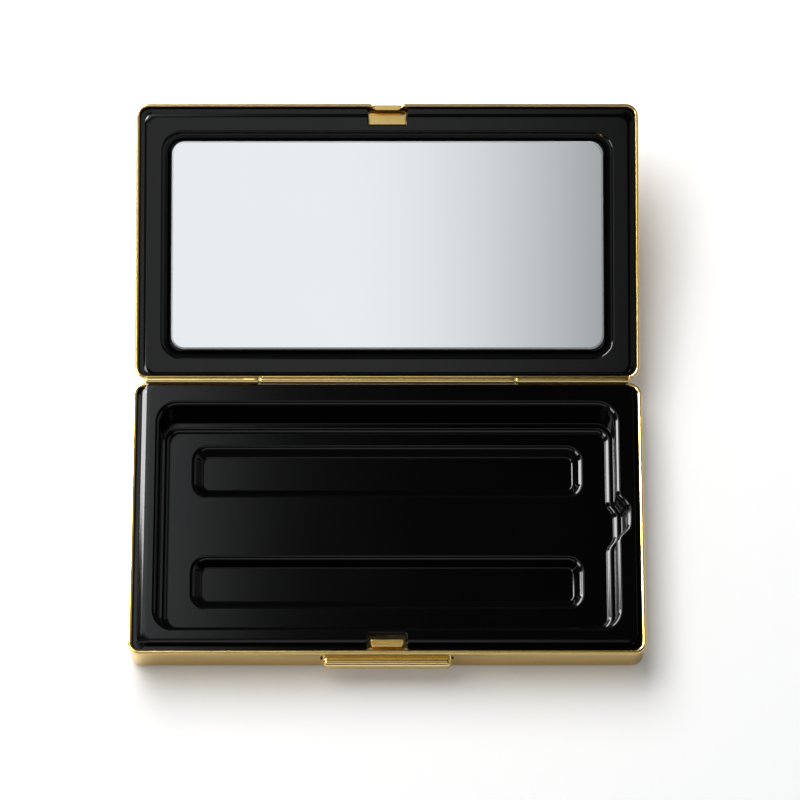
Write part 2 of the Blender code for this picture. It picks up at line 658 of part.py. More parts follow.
def knuckle(name, x0, x1, side, parent):
    """A hinge tube with the saddle that seats it on its shell's rear wall; the axis is X."""
    tube = add_object(name, cylinder("X", x0, x1, BARREL_RADIUS, (0, 0), ROUND_SIDES, KNUCKLE_BEVEL),
                      GOLD, parent)
    near = HINGE_SET_BACK + BEAD_PROUD
    end = KNUCKLE_GAP + KNUCKLE_BEVEL
    ys = sorted((side * near, side * (near + SADDLE_DEPTH)))
    saddle = box(x0 + end, x1 - end, *ys, -RELIEF_DROP + SEAT_GAP, -BARREL_RADIUS / 2)
    boolean(tube, "UNION", add_cutter(name + "_saddle", saddle, parent))
    bore = cylinder("X", x0 - end, x1 + end, PIN_RADIUS + RUNNING_GAP, (0, 0), BORE_SIDES)
    boolean(tube, "DIFFERENCE", add_cutter(name + "_bore", bore, parent))


def hinge(base_axis, lid_axis):
    half = CENTRE_KNUCKLE_LENGTH / 2
    outer = half + KNUCKLE_GAP
    knuckle("hinge_knuckle_left", -HINGE_HALF, -outer, -1, base_axis)
    knuckle("hinge_knuckle_right", outer, HINGE_HALF, -1, base_axis)
    knuckle("hinge_knuckle_lid", -half, half, 1, lid_axis)
    pin = cylinder("X", -HINGE_HALF, HINGE_HALF, PIN_RADIUS, (0, 0), BORE_SIDES)
    add_object("hinge_pin", pin, STEEL, base_axis)


def thumb_bar(latch):
    """The bar that is pressed, with a flange behind the wall that keeps it in its slot."""
    half = BAR_LENGTH / 2
    bar = box(-half, half, WALL_FRONT_FACE - BAR_PROUD, FLANGE_BACK - FLANGE_THICKNESS / 2,
              BAR_TOP - BAR_HEIGHT, BAR_TOP)
    rounded_from = WALL_FRONT_FACE - BAR_PROUD + BAR_ROUNDING
    round_edges(bar, BAR_ROUNDING, 4, lambda edge: min(v.co.y for v in edge.verts) < rounded_from)
    bar = add_object("thumb_bar", bar, GOLD, latch)
    flange = box(-half - FLANGE_OVERLAP, half + FLANGE_OVERLAP, FLANGE_FRONT, FLANGE_BACK,
                 BAR_TOP - BAR_HEIGHT - FLANGE_OVERLAP, BAR_TOP + FLANGE_TOP_OVERLAP)
    boolean(bar, "UNION", add_cutter("thumb_bar_flange", flange, latch))
    for side, label in ((-1, "left"), (1, "right")):
        hole = cylinder("Y", FLANGE_FRONT - RIVET_RADIUS, FLANGE_BACK + SEAT_GAP,
                        RIVET_RADIUS + RUNNING_GAP, (side * RIVET_SPACING / 2, BAR_CENTRE), BORE_SIDES)
        boolean(bar, "DIFFERENCE", add_cutter("bar_rivet_hole_" + label, hole, latch))


def latch_hook(latch):
    """Upright sheet hook, folded into a ridge on top, with a nose over the lid's catch."""
    low = BAR_TOP - BAR_HEIGHT
    back = HOOK_BACK + RIDGE_REACH
    crease = back - RIDGE_WIDTH - CREASE_HALF_WIDTH
    outline = ((HOOK_BACK, low), (HOOK_BACK, HOOK_TOP - 2 * RIDGE_HEIGHT),
               (back, HOOK_TOP - RIDGE_HEIGHT), (back, HOOK_TOP - RIDGE_ROUNDING),
               (back - RIDGE_ROUNDING, HOOK_TOP), (crease + CREASE_HALF_WIDTH, HOOK_TOP),
               (crease, HOOK_TOP - CREASE_DEPTH), (crease - CREASE_HALF_WIDTH, HOOK_TOP),
               (NOSE_FRONT + NOSE_ROUNDING, HOOK_TOP), (NOSE_FRONT, HOOK_TOP - NOSE_ROUNDING),
               (NOSE_FRONT, NOSE_UNDERSIDE), (HOOK_FRONT, NOSE_UNDERSIDE), (HOOK_FRONT, low))
    bm = prism(outline, HOOK_WIDTH)
    for vert in bm.verts:
        if vert.co.y < (HOOK_FRONT + NOSE_FRONT) / 2:
            vert.co.x -= math.copysign(HOOK_TAPER, vert.co.x)
    hook = add_object("latch_hook", bm, GOLD, latch)
    for side, label in ((-1, "left"), (1, "right")):
        place = (side * RIVET_SPACING / 2, BAR_CENTRE)
        hole = cylinder("Y", HOOK_FRONT - SEAT_GAP / 2, HOOK_BACK + SEAT_GAP / 2,
                        RIVET_RADIUS + RUNNING_GAP, place, BORE_SIDES)
        boolean(hook, "DIFFERENCE", add_cutter("hook_rivet_hole_" + label, hole, latch))
        rivet("hook_rivet_" + label, FLANGE_FRONT, HOOK_BACK + RUNNING_GAP, place, latch)


def rivet(name, tip, under_head, place, parent):
    """A round-shanked rivet along Y, its head at the rear end."""
    bm = cylinder("Y", tip, under_head + SHANK_END, RIVET_RADIUS, place, BORE_SIDES)
    shank = add_object(name, bm, STEEL, parent)
    head = cylinder("Y", under_head, under_head + RIVET_HEAD, RIVET_HEAD_RADIUS, place, BORE_SIDES,
                    RIVET_HEAD / 3)
    boolean(shank, "UNION", add_cutter(name + "_head", head, parent))


def latch_bracket():
    """Angle bracket on the base's floor, with the two posts that carry the return springs."""
    floor = BASE_SHEET + SEAT_GAP
    back = BRACKET_FRONT + BRACKET_SHEET
    outline = ((BRACKET_FRONT, floor), (BRACKET_FRONT, BAR_TOP), (back, BAR_TOP),
               (back, floor + BRACKET_SHEET), (BRACKET_FRONT + BRACKET_FOOT, floor + BRACKET_SHEET),
               (BRACKET_FRONT + BRACKET_FOOT, floor))
    bracket = add_object("latch_bracket", prism(outline, BRACKET_WIDTH), STEEL)
    for side, label in ((-1, "left"), (1, "right")):
        place = (side * SPRING_SPACING / 2, BAR_CENTRE)
        hole = cylinder("Y", BRACKET_FRONT - SEAT_GAP, back + SEAT_GAP, POST_RADIUS + RUNNING_GAP,
                        place, BORE_SIDES)
        boolean(bracket, "DIFFERENCE", add_cutter("post_hole_" + label, hole))
        post = add_object("spring_post_" + label, cylinder(
            "Y", BRACKET_FRONT - POST_LENGTH, back + RUNNING_GAP + SHANK_END, POST_RADIUS,
            place, BORE_SIDES), STEEL)
        head = cylinder("Y", back + RUNNING_GAP, back + RUNNING_GAP + RIVET_HEAD,
                        POST_HEAD_RADIUS, place, BORE_SIDES)
        boolean(post, "UNION", add_cutter("spring_post_head_" + label, head))
        latch_spring("latch_spring_" + label, place)


def latch_spring(name, place):
    """A compression spring along Y between the bracket and the thumb bar's flange."""
    mean = SPRING_RADIUS - SPRING_WIRE / 2
    curve = bpy.data.curves.new(name + "_path", "CURVE")
    curve.dimensions = "3D"
    curve.bevel_depth = SPRING_WIRE / 2
    curve.bevel_resolution = 1
    curve.use_fill_caps = True
    spline = curve.splines.new("POLY")
    count = round(SPRING_TURNS * SPRING_STEPS) + 1
    spline.points.add(count - 1)
    start = SPRING_FRONT + SPRING_WIRE / 2
    length = SPRING_LENGTH - SPRING_WIRE
    for index, point in enumerate(spline.points):
        share = index / (count - 1)
        angle = 2 * math.pi * SPRING_TURNS * share
        point.co = (place[0] + mean * math.cos(angle), start + length * share,
                    place[1] + mean * math.sin(angle), 1)
    path = bpy.data.objects.new(name + "_path", curve)
    CUTTERS.objects.link(path)
    bpy.context.view_layer.update()
    evaluated = path.evaluated_get(bpy.context.evaluated_depsgraph_get())
    mesh = bpy.data.meshes.new_from_object(evaluated)
    bm = bmesh.new()
    bm.from_mesh(mesh)
    bmesh.ops.remove_doubles(bm, verts=bm.verts, dist=WELD)
    bpy.data.objects.remove(path, do_unlink=True)
    add_object(name, bm, STEEL)


def latch_strike(lid_axis):
    """Bent strip behind the lid's catch: the top leg shows in the liner's window."""
    front = LID_LINER_FRONT + STRIKE_REACH
    top = LID_LINER_TOP - LINER_SHEET - SEAT_GAP
    bottom = LID_INNER_FLOOR + SEAT_GAP
    sheet = STRIKE_SHEET
    inner_bend = STRIKE_BEND - sheet
    outer = filleted(((front - STRIKE_LENGTH, top, 0), (front, top, STRIKE_BEND),
                      (front, bottom, inner_bend), (front - STRIKE_FOOT, bottom, 0)))
    inner = filleted(((front - STRIKE_FOOT, bottom + sheet, 0),
                      (front - sheet, bottom + sheet, inner_bend / 2),
                      (front - sheet, top - sheet, inner_bend), (front - STRIKE_LENGTH, top - sheet, 0)))
    add_object("latch_strike", prism(outer + inner, LID_WINDOW_WIDTH - 2 * SEAT_GAP), GOLD, lid_axis)


def pads(lid_axis):
    """Foam pads that bed the liners on the metal shells."""
    bottom = BASE_SHEET + SEAT_GAP
    top = TRAY_FLOOR - POCKET_DEPTH - LINER_SHEET - SEAT_GAP
    lid_bottom = LID_INNER_FLOOR + SEAT_GAP
    lid_top = RECESS_FLOOR - LINER_SHEET - SEAT_GAP
    half = PAD_LENGTH / 2
    for y, label in zip(POCKET_CENTRES, ("front", "rear")):
        pad = box(-half, half, y - PAD_WIDTH / 2, y + PAD_WIDTH / 2, bottom, top)
        add_object("base_pad_" + label, pad, FOAM)
    for y, label in ((MIRROR_FRONT - LID_PAD_INSET, "front"), (MIRROR_REAR + LID_PAD_INSET, "rear")):
        pad = box(-half, half, y - LID_PAD_WIDTH / 2, y + LID_PAD_WIDTH / 2, lid_bottom, lid_top)
        add_object("lid_pad_" + label, pad, FOAM, lid_axis)


def empty(name, location, tilt=0.0):
    thing = bpy.data.objects.new(name, None)
    thing.location = location
    thing.rotation_euler = (tilt, 0, 0)
    thing.empty_display_size = BASE_HEIGHT
    COMPACT.objects.link(thing)
    return thing


clear_scene()
COMPACT = new_collection("makeup_compact")
CUTTERS = new_collection("cutters")
GOLD = finish("gold_metal", (0.72, 0.50, 0.17), 1.0, 0.18)
BLACK = finish("black_gloss", (0.006, 0.006, 0.007), 0.0, 0.12)
MIRROR = finish("mirror_glass", (0.88, 0.90, 0.91), 1.0, 0.02)
STEEL = finish("steel", (0.56, 0.56, 0.55), 1.0, 0.3)
FOAM = finish("foam_tape", (0.30, 0.30, 0.29), 0.0, 0.9)

base_hinge_axis = empty("base_hinge_axis", (0, HINGE_Y, HINGE_Z))
lid_hinge_axis = empty("lid_hinge_axis", (0, HINGE_Y, HINGE_Z), LID_TILT)
latch_slide = empty("latch_slide", (0, 0, 0))

base_shell()
base_liner()
latch_bracket()
hinge(base_hinge_axis, lid_hinge_axis)
lid_shell(lid_hinge_axis)
lid_liner(lid_hinge_axis)
mirror(lid_hinge_axis)
latch_strike(lid_hinge_axis)
pads(lid_hinge_axis)
thumb_bar(latch_slide)
latch_hook(latch_slide)
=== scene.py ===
# Makeup compact, lid open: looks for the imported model
import json
import math

import bmesh
import bpy
from mathutils import Matrix, Vector


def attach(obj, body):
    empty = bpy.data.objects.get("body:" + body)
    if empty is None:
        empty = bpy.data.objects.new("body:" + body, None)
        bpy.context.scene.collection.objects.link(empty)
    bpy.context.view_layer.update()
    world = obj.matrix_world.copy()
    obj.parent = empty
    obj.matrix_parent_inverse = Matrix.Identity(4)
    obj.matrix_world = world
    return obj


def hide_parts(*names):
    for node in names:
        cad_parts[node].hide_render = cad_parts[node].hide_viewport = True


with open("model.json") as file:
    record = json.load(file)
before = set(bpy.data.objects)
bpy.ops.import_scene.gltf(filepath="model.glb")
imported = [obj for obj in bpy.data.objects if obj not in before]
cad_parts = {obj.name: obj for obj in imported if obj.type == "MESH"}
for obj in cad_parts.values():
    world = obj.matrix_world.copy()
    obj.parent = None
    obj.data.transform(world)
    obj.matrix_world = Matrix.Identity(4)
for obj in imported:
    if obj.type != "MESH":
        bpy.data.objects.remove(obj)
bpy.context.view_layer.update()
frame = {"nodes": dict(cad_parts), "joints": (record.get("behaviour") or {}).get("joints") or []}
mm = 0.001
nearly = 1e-7  # metres: places nearer than this are one
roughly = 1e-6  # the same, for places that have been moved
creaseAngle = 38  # degrees: edges that turn more than this are sharp

# Where the lid turns, and how far it leans back from flat
hingeJoint = next(joint for joint in frame["joints"] if joint["name"] == "lid_hinge")
hingeLine = Vector(hingeJoint["pos_m"])
lidTilt = math.radians(180 - hingeJoint["range_deg"][1])
hingePlace = Matrix.Translation(hingeLine)
lidPlace = hingePlace @ Matrix.Rotation(lidTilt, 4, "X")
basePlace = Matrix.Identity(4)


def measured(node, place=basePlace):
    # a CAD node's lowest and highest corners, in the base's or the lid's own directions
    back = place.inverted()
    corners = [back @ vert.co for vert in frame["nodes"][node].data.vertices]
    return Vector(map(min, zip(*corners))), Vector(map(max, zip(*corners)))


def share(value):
    # a share of something, held between none and all
    return min(max(value, 0), 1)


class Wire:
    # one output of a node, with the sums that the finishes use
    def __init__(self, nodes, socket):
        self.nodes = nodes
        self.socket = socket

    def maths(self, operation, *values):
        return self.nodes.add("ShaderNodeMath", {"operation": operation}, dict(enumerate(values)))

    def __add__(self, other):
        return self.maths("ADD", self, other)

    def __sub__(self, other):
        return self.maths("SUBTRACT", self, other)

    def __rsub__(self, other):
        return self.maths("SUBTRACT", other, self)

    def __mul__(self, other):
        return self.maths("MULTIPLY", self, other)

    __radd__ = __add__
    __rmul__ = __mul__


class Nodes:
    # a short way to add nodes to a material's or the world's tree
    def __init__(self, tree):
        self.tree = tree

    def add(self, kind, settings, sockets, output=0):
        node = self.tree.nodes.new(kind)
        for name, value in settings.items():
            setattr(node, name, value)
        for name, value in sockets.items():
            self.put(node.inputs[name], value)
        return Wire(self, node.outputs[output])

    def put(self, socket, value):
        if isinstance(value, Wire):
            self.tree.links.new(value.socket, socket)
        else:
            socket.default_value = value


class Paint(Nodes):
    # a material with its Principled shader
    def __init__(self, name, fixed):
        self.material = bpy.data.materials.new(name)
        self.material.use_nodes = True
        super().__init__(self.material.node_tree)
        self.shader = self.tree.nodes["Principled BSDF"]
        for socket, value in fixed.items():
            self.shader.inputs[socket].default_value = value

    def feed(self, name, value):
        self.put(self.shader.inputs[name], value)

    def noise(self, scale, detail=2, stretch=(1, 1, 1)):
        # noise from -0.5 to 0.5 on the piece's own metres
        place = self.add("ShaderNodeTexCoord", {}, {}, "Object")
        turned = self.add("ShaderNodeMapping", {}, {"Vector": place, "Scale": stretch})
        grain = self.add("ShaderNodeTexNoise", {}, {"Vector": turned, "Scale": scale, "Detail": detail})
        return grain - 0.5

    def bump(self, height, distance, strength):
        normal = self.add("ShaderNodeBump", {}, {"Height": height, "Distance": distance,
                                                 "Strength": strength})
        self.feed("Normal", normal)

    def mixed(self, factor, first, second):
        # a Mix node's colour sockets go by number, because its other types share their names
        return self.add("ShaderNodeMix", {"data_type": "RGBA"}, {0: factor, 6: first, 7: second}, 2)


def grained(paint, look):
    # one grain in a finish's colour and roughness, and in its relief where it has a depth
    grain = paint.noise(look["scale"], look["detail"], look.get("stretch", (1, 1, 1)))
    paint.feed("Base Color", paint.mixed(grain + 0.5, look["dark"], look["light"]))
    paint.feed("Roughness", grain * look["spread"] + look["roughness"])
    if "depth" in look:
        paint.bump(grain, look["depth"], look["relief"])
    return paint.material


def goldPlate():
    look = {"colour": (0.90, 0.64, 0.21, 1), "worn": (0.92, 0.67, 0.25, 1), "wear": 0.8,
            "cloud": 60, "grain": 1500, "rub": 2600, "rubStretch": (1, 0.04, 0.4), "roughness": 0.21,
            "cloudSpread": 0.03, "grainSpread": 0.02, "rubSpread": 0.03, "depth": 0.001 * mm, "relief": 0.2}
    paint = Paint("gold_plate", {"Metallic": 1.0})
    cloud = paint.noise(look["cloud"])
    grain = paint.noise(look["grain"])
    rub = paint.noise(look["rub"], stretch=look["rubStretch"])
    wear = cloud * look["wear"] + look["wear"] / 2
    paint.feed("Base Color", paint.mixed(wear, look["colour"], look["worn"]))
    paint.feed("Roughness", cloud * look["cloudSpread"] + grain * look["grainSpread"]
               + rub * look["rubSpread"] + look["roughness"])
    paint.bump(grain, look["depth"], look["relief"])
    return paint.material


def blackPlastic():
    look = {"colour": (0.001, 0.001, 0.001, 1), "dusty": (0.0016, 0.0016, 0.0016, 1), "wave": 45,
            "grain": 1800, "roughness": 0.08, "waveSpread": 0.03, "grainSpread": 0.02,
            "grainHeight": 0.01, "depth": 0.02 * mm, "relief": 0.4, "ior": 1.37}
    paint = Paint("black_plastic", {"Metallic": 0.0, "IOR": look["ior"]})
    wave = paint.noise(look["wave"], detail=1)
    grain = paint.noise(look["grain"])
    paint.feed("Base Color", paint.mixed(wave + 0.5, look["colour"], look["dusty"]))
    paint.feed("Roughness", wave * look["waveSpread"] + grain * look["grainSpread"] + look["roughness"])
    paint.bump(wave + grain * look["grainHeight"], look["depth"], look["relief"])
    return paint.material


def mirrorSilver():
    look = {"dark": (0.86, 0.895, 0.92, 1), "light": (0.885, 0.915, 0.935, 1), "scale": 25, "detail": 2,
            "roughness": 0.015, "spread": 0.01}
    return grained(Paint("mirror_silver", {"Metallic": 1.0}), look)


def groundEdge():
    look = {"dark": (0.26, 0.28, 0.29, 1), "light": (0.42, 0.44, 0.45, 1), "scale": 3000, "detail": 2,
            "roughness": 0.45, "spread": 0.2, "depth": 0.02 * mm, "relief": 0.4, "ior": 1.5}
    return grained(Paint("ground_glass_edge", {"Metallic": 0.0, "IOR": look["ior"]}), look)


def steelWire():
    look = {"dark": (0.50, 0.50, 0.49, 1), "light": (0.62, 0.62, 0.60, 1), "scale": 1500, "detail": 3,
            "stretch": (0.2, 1, 1), "roughness": 0.32, "spread": 0.2, "depth": 0.02 * mm, "relief": 0.4}
    return grained(Paint("steel", {"Metallic": 1.0}), look)


def foamTape():
    look = {"dark": (0.22, 0.22, 0.21, 1), "light": (0.34, 0.34, 0.33, 1), "scale": 2500, "detail": 3,
            "roughness": 0.9, "spread": 0.1, "depth": 0.05 * mm, "relief": 0.8}
    return grained(Paint("foam_tape", {"Metallic": 0.0}), look)


gold = goldPlate()
black = blackPlastic()
silver = mirrorSilver()
edgeGlass = groundEdge()
steel = steelWire()
foam = foamTape()
print("finishes ready")


def linked(name, data):
    # a new object in the scene
    thing = bpy.data.objects.new(name, data)
    bpy.context.scene.collection.objects.link(thing)
    return thing


def meshed(name, bm):
    # the bmesh as a smooth mesh, sharp at its creases and at a sheet's border
    bm.edges.index_update()
    border = [edge.index for edge in bm.edges if edge.is_boundary]
    mesh = bpy.data.meshes.new(name)
    bm.to_mesh(mesh)
    bm.free()
    mesh.shade_smooth()
    mesh.set_sharp_from_angle(angle=math.radians(creaseAngle))
    for index in border:
        mesh.edges[index].use_edge_sharp = True
    return mesh


def addPiece(name, bm, finishes, body, replaced, place=basePlace, sheet=0.0):
    # a finished piece in its place, with a wall inside its faces where it is made of sheet
    bmesh.ops.transform(bm, matrix=place, verts=bm.verts)
    piece = linked(name, meshed(name, bm))
    for finish in finishes:
        piece.data.materials.append(finish)
    if sheet:
        wall = piece.modifiers.new("wall", "SOLIDIFY")
        wall.thickness = sheet
        wall.offset = -1
        wall.use_even_offset = True
    flats = piece.modifiers.new("flats", "WEIGHTED_NORMAL")
    flats.keep_sharp = True
    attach(piece, body)
    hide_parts(*replaced)
    return piece


def carve(piece, bm, operation, place=basePlace):
    # cuts a shape out of a piece, or joins it on, and keeps the result
    bmesh.ops.transform(bm, matrix=place, verts=bm.verts)
    bmesh.ops.recalc_face_normals(bm, faces=bm.faces)
    tool = linked("tool", meshed("tool", bm))
    cut = piece.modifiers.new("cut", "BOOLEAN")
    cut.operation = operation
    cut.object = tool
    piece.modifiers.move(len(piece.modifiers) - 1, 0)
    flats = piece.modifiers["flats"]
    flats.show_viewport = False
    bpy.context.view_layer.update()
    seen = piece.evaluated_get(bpy.context.evaluated_depsgraph_get())
    piece.data = bpy.data.meshes.new_from_object(seen)
    piece.modifiers.remove(cut)
    flats.show_viewport = True
    bpy.data.objects.remove(tool)


def arris(piece, width, segments=2, angle=40):
    # breaks a piece's sharp edges
    cut = piece.modifiers.new("arris", "BEVEL")
    cut.width = width
    cut.segments = segments
    cut.limit_method = "ANGLE"
    cut.angle_limit = math.radians(angle)
    piece.modifiers.move(len(piece.modifiers) - 1, 0)


def pick(items, kind):
    # the points, edges or faces among what an operator made
    return [item for item in items if isinstance(item, kind)]


def grouped(faces):
    # faces with their edges and points, each once and in the same order every run
    geom = faces + list(dict.fromkeys(edge for face in faces for edge in face.edges))
    return geom + list(dict.fromkeys(vert for face in faces for vert in face.verts))


def scored(bm, geom, spot, normal):
    # a row of new points where a plane meets the geometry
    return bmesh.ops.bisect_plane(bm, geom=geom, dist=nearly, plane_co=spot, plane_no=normal)["geom"]


def grown(bm, border):
    # extrudes a row of edges and gives back the new row with its points
    made = bmesh.ops.extrude_edge_only(bm, edges=border)["geom"]
    verts = set(pick(made, bmesh.types.BMVert))
    edges = [edge for edge in pick(made, bmesh.types.BMEdge) if all(vert in verts for vert in edge.verts)]
    return edges, verts


def plate(bm, x0, x1, y0, y1, z, radius, arcs=12):
    # a flat rounded rectangle as one face
    before = set(bm.faces)
    made = bmesh.ops.create_grid(bm, x_segments=1, y_segments=1, size=0.5)["verts"]
    bmesh.ops.scale(bm, vec=(x1 - x0, y1 - y0, 1), verts=made)
    bmesh.ops.translate(bm, vec=((x0 + x1) / 2, (y0 + y1) / 2, z), verts=made)
    bmesh.ops.bevel(bm, geom=made, offset=radius, segments=arcs, profile=0.5, affect="VERTICES",
                    material=-1)
    return (set(bm.faces) - before).pop()


def rounded(corners, steps=5):
    # a profile's points, with an arc of the third number's radius at each inner corner
    points = [corners[0][:2]]
    for before, here, after in zip(corners, corners[1:], corners[2:]):
        corner = Vector(here[:2])
        back = (Vector(before[:2]) - corner).normalized()
        ahead = (Vector(after[:2]) - corner).normalized()
        half = back.angle(ahead) / 2
        reach = here[2] / math.tan(half)
        centre = corner + (back + ahead).normalized() * (here[2] / math.sin(half))
        start = corner + back * reach - centre
        turn = (math.pi - 2 * half) * (1 if start.y * back.x > start.x * back.y else -1)
        for step in range(steps + 1):
            spot = centre + Matrix.Rotation(turn * step / steps, 2) @ start
            points.append((spot.x, spot.y))
    points.append(corners[-1][:2])
    return points


def sink(bm, face, profile, rearShift=None):
    # takes a face in and along its normal, step by step, as the profile (inwards, outwards) says
    for here, ahead in zip(profile, profile[1:]):
        bmesh.ops.inset_individual(bm, faces=[face], thickness=ahead[0] - here[0],
                                   depth=ahead[1] - here[1], use_even_offset=True)
        if rearShift:
            rear = [vert for vert in face.verts if vert.co.y > 0]
            bmesh.ops.translate(bm, vec=(0, rearShift(*here) - rearShift(*ahead), 0), verts=rear)


def slab(bm, face, rise):
    # draws a flat face up or down into a slab, and gives back its top and bottom
    made = bmesh.ops.extrude_face_region(bm, geom=[face])["geom"]
    bmesh.ops.translate(bm, vec=(0, 0, rise), verts=pick(made, bmesh.types.BMVert))
    bmesh.ops.recalc_face_normals(bm, faces=bm.faces)
    heights = sorted(bm.faces, key=lambda face: face.calc_center_median().z)
    return heights[-1], heights[0]


def opened(bm, face):
    # takes a face away and gives back the edges round its place
    edges = list(face.edges)
    bmesh.ops.delete(bm, geom=[face], context="FACES_ONLY")
    return edges


def filled(bm, edges):
    # one flat stretch of sheet between outlines, facing up
    made = bmesh.ops.triangle_fill(bm, edges=edges, use_beauty=True)["geom"]
    down = [face for face in pick(made, bmesh.types.BMFace) if face.normal.z < 0]
    bmesh.ops.reverse_faces(bm, faces=down)


def box(x0, x1, y0, y1, z0, z1):
    # a plain block
    bm = bmesh.new()
    bmesh.ops.create_cube(bm, size=1.0)
    bmesh.ops.scale(bm, vec=(x1 - x0, y1 - y0, z1 - z0), verts=bm.verts)
    bmesh.ops.translate(bm, vec=((x0 + x1) / 2, (y0 + y1) / 2, (z0 + z1) / 2), verts=bm.verts)
    return bm


def edgesAlong(bm, axis):
    # the edges of a box that run along X, Y or Z (0, 1 or 2)
    return [edge for edge in bm.edges
            if abs(edge.verts[0].co[axis] - edge.verts[1].co[axis]) > nearly]


def soften(bm, edges, width, segments):
    # rounds edges over
    bmesh.ops.bevel(bm, geom=edges, offset=width, segments=segments, profile=0.5, affect="EDGES",
                    material=-1)


def pressedShell(low, high, look):
    # metal tray, its lip upwards: a thin slab at the bead, pressed in from above and from below
    bead = look["bead"]
    lipRound = look["lipRound"]
    depth = high.z - low.z
    bm = bmesh.new()
    rim = plate(bm, low.x, high.x, low.y, high.y, high.z - lipRound, look["corner"])
    top, bottom = slab(bm, rim, lipRound - look["beadHeight"])
    lip = bead + look["sheet"]
    lipArc = lipRound * 0.98  # short of the whole height, for a hair of upright edge
    floor = lipRound - depth + look["sheet"]
    inner = look["floorRound"] - look["sheet"]
    innerEnd = lip + inner * 1.3  # past its round the floor is flat
    sink(bm, top, rounded((
        (0, 0, 0), (0, lipRound, lipArc), (lip, lipRound, lipRound), (lip, floor, inner),
        (innerEnd, floor, 0))))
    fall = depth - look["beadHeight"]
    outerEnd = bead + look["floorRound"] * 1.2
    sink(bm, bottom, rounded((
        (0, 0, 0), (bead, bead, bead * look["beadSoftness"]), (bead, fall, look["floorRound"]),
        (outerEnd, fall, 0)), steps=7))
    return bm


def frameWindow(bm, look, side):
    # opens a window in the front of a liner's frame: side is -1 where that is at low Y, else 1
    half = look["windowHalf"]
    rear = look["windowRear"]
    corner = look["windowCorner"]
    arcs = 4
    top = max(vert.co.z for vert in bm.verts)
    for x in (-half, half):
        strip = [face for face in bm.faces if face.calc_center_median().y * side > rear * side]
        scored(bm, grouped(strip), (x, 0, 0), (1, 0, 0))
    inside = [face for face in bm.faces if abs(face.calc_center_median().x) < half
              and face.calc_center_median().y * side > rear * side]
    bmesh.ops.delete(bm, geom=inside, context="FACES")
    ends = [vert for vert in bm.verts if abs(abs(vert.co.x) - half) < nearly and vert.co.y * side > 0
            and abs(vert.co.z - top) < nearly]
    first, final = (min((vert for vert in ends if vert.co.x * hand > 0), key=lambda vert: vert.co.y * side)
                    for hand in (-1, 1))
    left = []
    for step in range(arcs + 1):
        angle = math.pi / 2 * step / arcs
        left.append((-half + corner * (1 - math.cos(angle)), rear + side * corner * (1 - math.sin(angle))))
    right = [(-x, y) for x, y in reversed(left)]
    chain = [first] + [bm.verts.new((x, y, top)) for x, y in left + right] + [final]
    for pair in zip(chain, chain[1:]):
        bm.edges.new(pair)


def flatOutlines(bm, height):
    # the edges at this height that still lack a face
    return [edge for edge in bm.edges if len(edge.link_faces) < 2
            and all(abs(vert.co.z - height) < nearly for vert in edge.verts)]


def bendDown(bm, look, side):
    # turns the sheet down along the window's border, on a small arc
    half = look["windowHalf"]
    rear = look["windowRear"]
    corner = look["windowCorner"]
    centre = rear + side * corner
    top = max(vert.co.z for vert in bm.verts)
    edge = look["edges"][3 if side > 0 else 2]
    fall = look["falls"][3 if side > 0 else 2]
    last = math.radians(look["edgeTurn"])
    frontFlat = look["front"] - side * edge
    arcs = 5
    border = [line for line in bm.edges if line.is_boundary
              and all(abs(vert.co.x) < half + roughly and (vert.co.y - rear) * side > -roughly
                      for vert in line.verts)
              and any(vert.co.z > top - look["skirt"] + look["foot"] - roughly for vert in line.verts)]

    def directions(spot):
        # towards the opening, and square to the sheet
        inward = Vector((-math.copysign(1, spot.x), 0, 0))
        if (spot.y - centre) * side < 0:
            inward = Vector((0, side, 0))
            if abs(spot.x) > half - corner:
                middle = Vector((math.copysign(half - corner, spot.x), centre, spot.z))
                inward = (middle - spot).normalized()
        if spot.z < top - fall - nearly:
            return inward, Vector((0, side, 0))
        lean = share((spot.y - frontFlat) * side / edge) * math.sin(last)
        return inward, Vector((0, side * lean * math.sin(last) / edge,
                               math.sqrt(1 - lean * lean) * (1 - math.cos(last)) / fall)).normalized()

    turns = [math.pi / 2 * step / arcs for step in range(1, arcs + 1)]
    bends = [(look["bend"] * math.sin(turn), look["bend"] * (1 - math.cos(turn))) for turn in turns]
    bends.append((look["bend"], look["bend"] + look["turn"]))
    origins = {vert.co.copy().freeze(): vert.co.copy() for line in border for vert in line.verts}
    for across, down in bends:
        border, verts = grown(bm, border)
        moved = {}
        for vert in verts:
            first = origins[vert.co.copy().freeze()]
            inward, normal = directions(first)
            vert.co = first + inward * across - normal * down
            moved[vert.co.copy().freeze()] = first
        origins = moved


def faceUp(bm):
    # an open sheet's faces all look the way its widest flat face does: up
    bmesh.ops.recalc_face_normals(bm, faces=bm.faces)
    bm.normal_update()
    widest = max(bm.faces, key=lambda face: face.calc_area() * abs(face.normal.z))
    if widest.normal.z < 0:
        bmesh.ops.reverse_faces(bm, faces=bm.faces)


